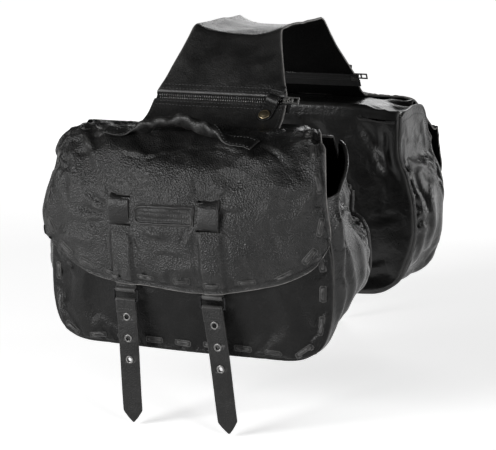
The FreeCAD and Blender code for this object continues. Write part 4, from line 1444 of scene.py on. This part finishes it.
def make_flap_straps(side, sign, find):
    """The two straps: out of one slit, into the next, and down behind the flap to their rings."""
    for end, (upper, _) in STRAPS.items():
        centre = STRAP_CENTRES[end] + FLAP_SHIFT
        start = upper + FLAP_SHIFT
        outside, n = find([upper] * 5, [139.5, 145.0, 153.0, 161.0, 165.5])
        lift = np.array([0.4, 2.6, 3.4, 2.6, 0.4])[:, None]
        path = resample([
            (start, RING_REACH - 1.1, -160.0),
            (start, 265.0, -168.5),
            *(outside + n * lift),
            (start + 0.3, 264.9, -208.5),
            ((centre + start) / 2, RING_REACH - 1.1, -222.0),
            (centre, RING_REACH - 1.1, -250.0),
            (centre, RING_REACH - 1.1, RING_TOP + 3.5),
            (centre, RING_REACH - 0.2, RING_TOP - 2.3),
        ], 110)
        bow = 0.5 * noise(path, 18.0, 141 if sign < 0 else 142)
        band = strap(path, [0.0, 1.0, 0.02], STRAP_WIDTH / 2, THIN / 2, bow[:, None] * 0.3)
        add_piece(f"{side}_{end}_strap_leather", joined([band, eye_loop(centre, RING_TOP)]), sign,
                  LEATHER_STRAP, f"{side}_flap", "strap_leather", f"{side}_{end}_flap_strap")


# how far each tail's tip hangs to one side
DRIFT = {("right", "rear"): 8.0, ("right", "front"): 20.0,
         ("left", "rear"): -8.0, ("left", "front"): -24.0}
# an eyelet's rolled rim, as (radius, height)
EYELET_RIM = [
    (2.45, 1.3), (2.6, 1.75), (3.1, 2.0), (3.9, 2.05), (4.6, 1.8), (4.9, 1.3), (4.5, 1.15),
    (3.0, 1.0), (3.0, -1.0), (4.5, -1.15), (4.9, -1.3), (4.6, -1.7), (3.9, -1.9), (3.1, -1.85),
    (2.6, -1.6), (2.45, -1.3), (2.45, 1.3),
]
EYELET_FIRST, EYELET_STEP, EYELET_BORE = 19.0, 24.5, 3.0


def make_tail(side, sign, end):
    """A hanging strap end with three eyelets, folded over its ring."""
    body = f"{side}_{end}_tail"
    centre = STRAP_CENTRES[end] + FLAP_SHIFT
    seed = (151 if end == "rear" else 153) + (sign > 0)
    z = np.linspace(RING_BOTTOM + 1.0, TAIL_TIP, 90)
    share = np.maximum(RING_BOTTOM - z, 0.0) / (RING_BOTTOM - TAIL_TIP)
    x = centre + DRIFT[side, end] * share ** 1.1 + 0.8 * np.sin(share * 5.0)
    reach = RING_REACH + 0.6 * np.sin(share * 4.0 + seed) + 1.5 * share * (1 - share)
    path = np.stack([x, reach, z], -1)
    to_tip = (z - TAIL_TIP) / 14.0
    width = (STRAP_WIDTH / 2) * np.clip(to_tip, 0.03, 1) ** 0.75
    width = np.where(to_tip > 1, STRAP_WIDTH / 2 - 0.5 * share, width)
    blade = strap(path, Y_AXIS, width, 1.25)
    thing = add(f"{body}_leather", *blade, sign, [LEATHER_STRAP, EDGE_DARK])
    spots = RING_BOTTOM - EYELET_FIRST - EYELET_STEP * np.arange(3)
    holes = looked_up(spots, z[::-1], path[::-1])
    bores = [swept(hole + [[0, -9.0, 0], [0, 9.0, 0]], X_AXIS, Z_AXIS, EYELET_BORE, EYELET_BORE,
                   2.0, 20) for hole in holes]
    cut_out(thing, joined(bores), sign)
    finish_piece(thing, body, "strap_leather", body)
    fold_z = np.linspace(RING_BOTTOM + 1.5, RING_BOTTOM - 13.5, 16)
    fold_x = np.interp(fold_z, z[::-1], x[::-1])
    fold = np.stack([fold_x, np.full_like(fold_z, RING_REACH + 2.1), fold_z], -1)
    fold_over = strap(fold, Y_AXIS, STRAP_WIDTH / 2 - 0.3, 1.15)
    top = joined([fold_over, eye_loop(centre, RING_BOTTOM)])
    add_piece(f"{body}_fold", top, sign, LEATHER_STRAP, body, "strap_leather")
    row = 11
    line = fold[row] * [1, 0, 1] + [0, RING_REACH + 3.25, 0]
    line = line + np.linspace(-8.5, 8.5, 12)[:, None] * X_AXIS
    sewn = stitched(line, Y_AXIS, 3.2, 2.5)
    add_piece(f"{body}_stitches", sewn, sign, THREAD, body, "strap_leather")
    points, faces = lathe(EYELET_RIM, 28)
    eyelets = joined([(points[:, [0, 2, 1]] + hole, faces) for hole in holes])
    add_piece(f"{side}_{end}_eyelets", eyelets, sign, EYELET, body, "eyelet_metal",
              f"{body}_eyelets")


for side, sign in SIDES:
    flap_face = make_flap(side, sign)
    make_flap_hinge(side, sign)
    make_flap_lacing(side, sign, flap_face)
    for make in (make_handle, make_badge, make_flap_straps):
        make(side, sign, flap_face.find)
    for end in ("rear", "front"):
        make_tail(side, sign, end)


# ---- snap tab ---------------------------------------------------------------------------------

# the press stud's cap, as (radius, height)
SNAP_CAP = [
    (0.0, 2.1), (1.6, 2.05), (3.2, 1.85), (4.2, 1.5), (4.7, 1.25), (5.0, 1.35), (5.5, 1.5),
    (6.1, 1.35), (6.6, 0.9), (6.8, 0.4), (6.6, 0.0), (5.0, -0.1), (2.2, -0.1), (2.2, -2.6),
    (4.1, -2.7), (4.1, -3.05), (0.0, -3.05),
]
# the tab's sewn end and its free length, as (x, down, height of its underside) on the zip
TAB_ROOT = [(x, down, LEATHER + GAP) for x, down in ((70.0, -18.0), (69.2, -14.0), (68.4, -10.2))]
TAB_FREE = [(67.2, -4.0, 3.9), (66.4, -1.2, 5.5), (65.4, 1.8, 5.6), (64.2, 6.0, 4.3)]


def make_snap_tab(side, sign):
    """The tab from its sewn end on the yoke to the stud on the tongue, and the stud's cap."""
    axis = with_x(0.0, tongue_out(np.array(SNAP_DOWN)))
    onward = np.array([0.0, axis[2], -axis[1]])
    snap_point = with_x(SNAP_X, tongue_at(np.array(SNAP_DOWN))) + axis * LEATHER
    lying = snap_point + axis * (0.9 + THIN / 2)
    root, free = ([on_zip(x, down, under + THIN / 2) for x, down, under in points]
                  for points in (TAB_ROOT, TAB_FREE))
    free += [lying - onward * 6.5 + [1.2, 0, 0], lying, lying + onward * 8.2 - [0.6, 0, 0]]
    add_piece(f"{side}_tab_root", strap(resample(root, 16), ZIP_OUT, TAB_HALF, THIN / 2), sign,
              LEATHER_STRAP, "yoke", "strap_leather", f"{side}_snap_tab_anchor")
    path = resample(free, 60)
    share = np.linspace(0, 1, len(path))[:, None]
    flat_towards = share * axis + share[::-1] * ZIP_OUT
    _, across, normal = directions(path, flat_towards)
    run = run_of(path)
    # a half-round tip
    into_tip = np.maximum(TAB_HALF - (run[-1] - run), 0.0)
    width = np.sqrt(np.clip(TAB_HALF ** 2 - into_tip ** 2, 0.05, TAB_HALF ** 2))
    add_piece(f"{side}_tab_leather", strap(path, flat_towards, width, THIN / 2), sign,
              LEATHER_STRAP, f"{side}_snap_tab", "strap_leather", f"{side}_snap_tab")
    seams = []
    sewn = slice(2, -7)
    for edge in (-1, 1):
        line = path[sewn] + across[sewn] * edge * 6.2 + normal[sewn] * (THIN / 2)
        seams.append(stitched(line, normal[sewn], 3.4, 2.4, 0.6, 0.5))
    add_piece(f"{side}_tab_stitches", joined(seams), sign, THREAD,
              f"{side}_snap_tab", "strap_leather")
    base = snap_point + axis * (0.9 + THIN + 0.1)
    cap = stamped(lathe(SNAP_CAP, 40), [base], X_AXIS, np.cross(axis, X_AXIS), axis)
    add_piece(f"{side}_snap_button", cap, sign, BRASS,
              f"{side}_snap_tab", "antique_brass", f"{side}_snap_cap")


for side, sign in SIDES:
    make_snap_tab(side, sign)


# ---- CAD pieces that keep their own shape -----------------------------------------------------

KEPT = {
    "zip_slider": NICKEL, "zip_puller": NICKEL, "snap_post": BRASS, "front_ring": BLACK_METAL,
    "rear_ring": BLACK_METAL, "closure_posts": BLACK_METAL, "closure_sockets": BLACK_METAL,
}
for side, _ in SIDES:
    for node, material in KEPT.items():
        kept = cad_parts[f"{side}_{node}"]
        if not kept.material_slots:
            kept.data.materials.append(material)
        for slot in kept.material_slots:
            slot.material = material
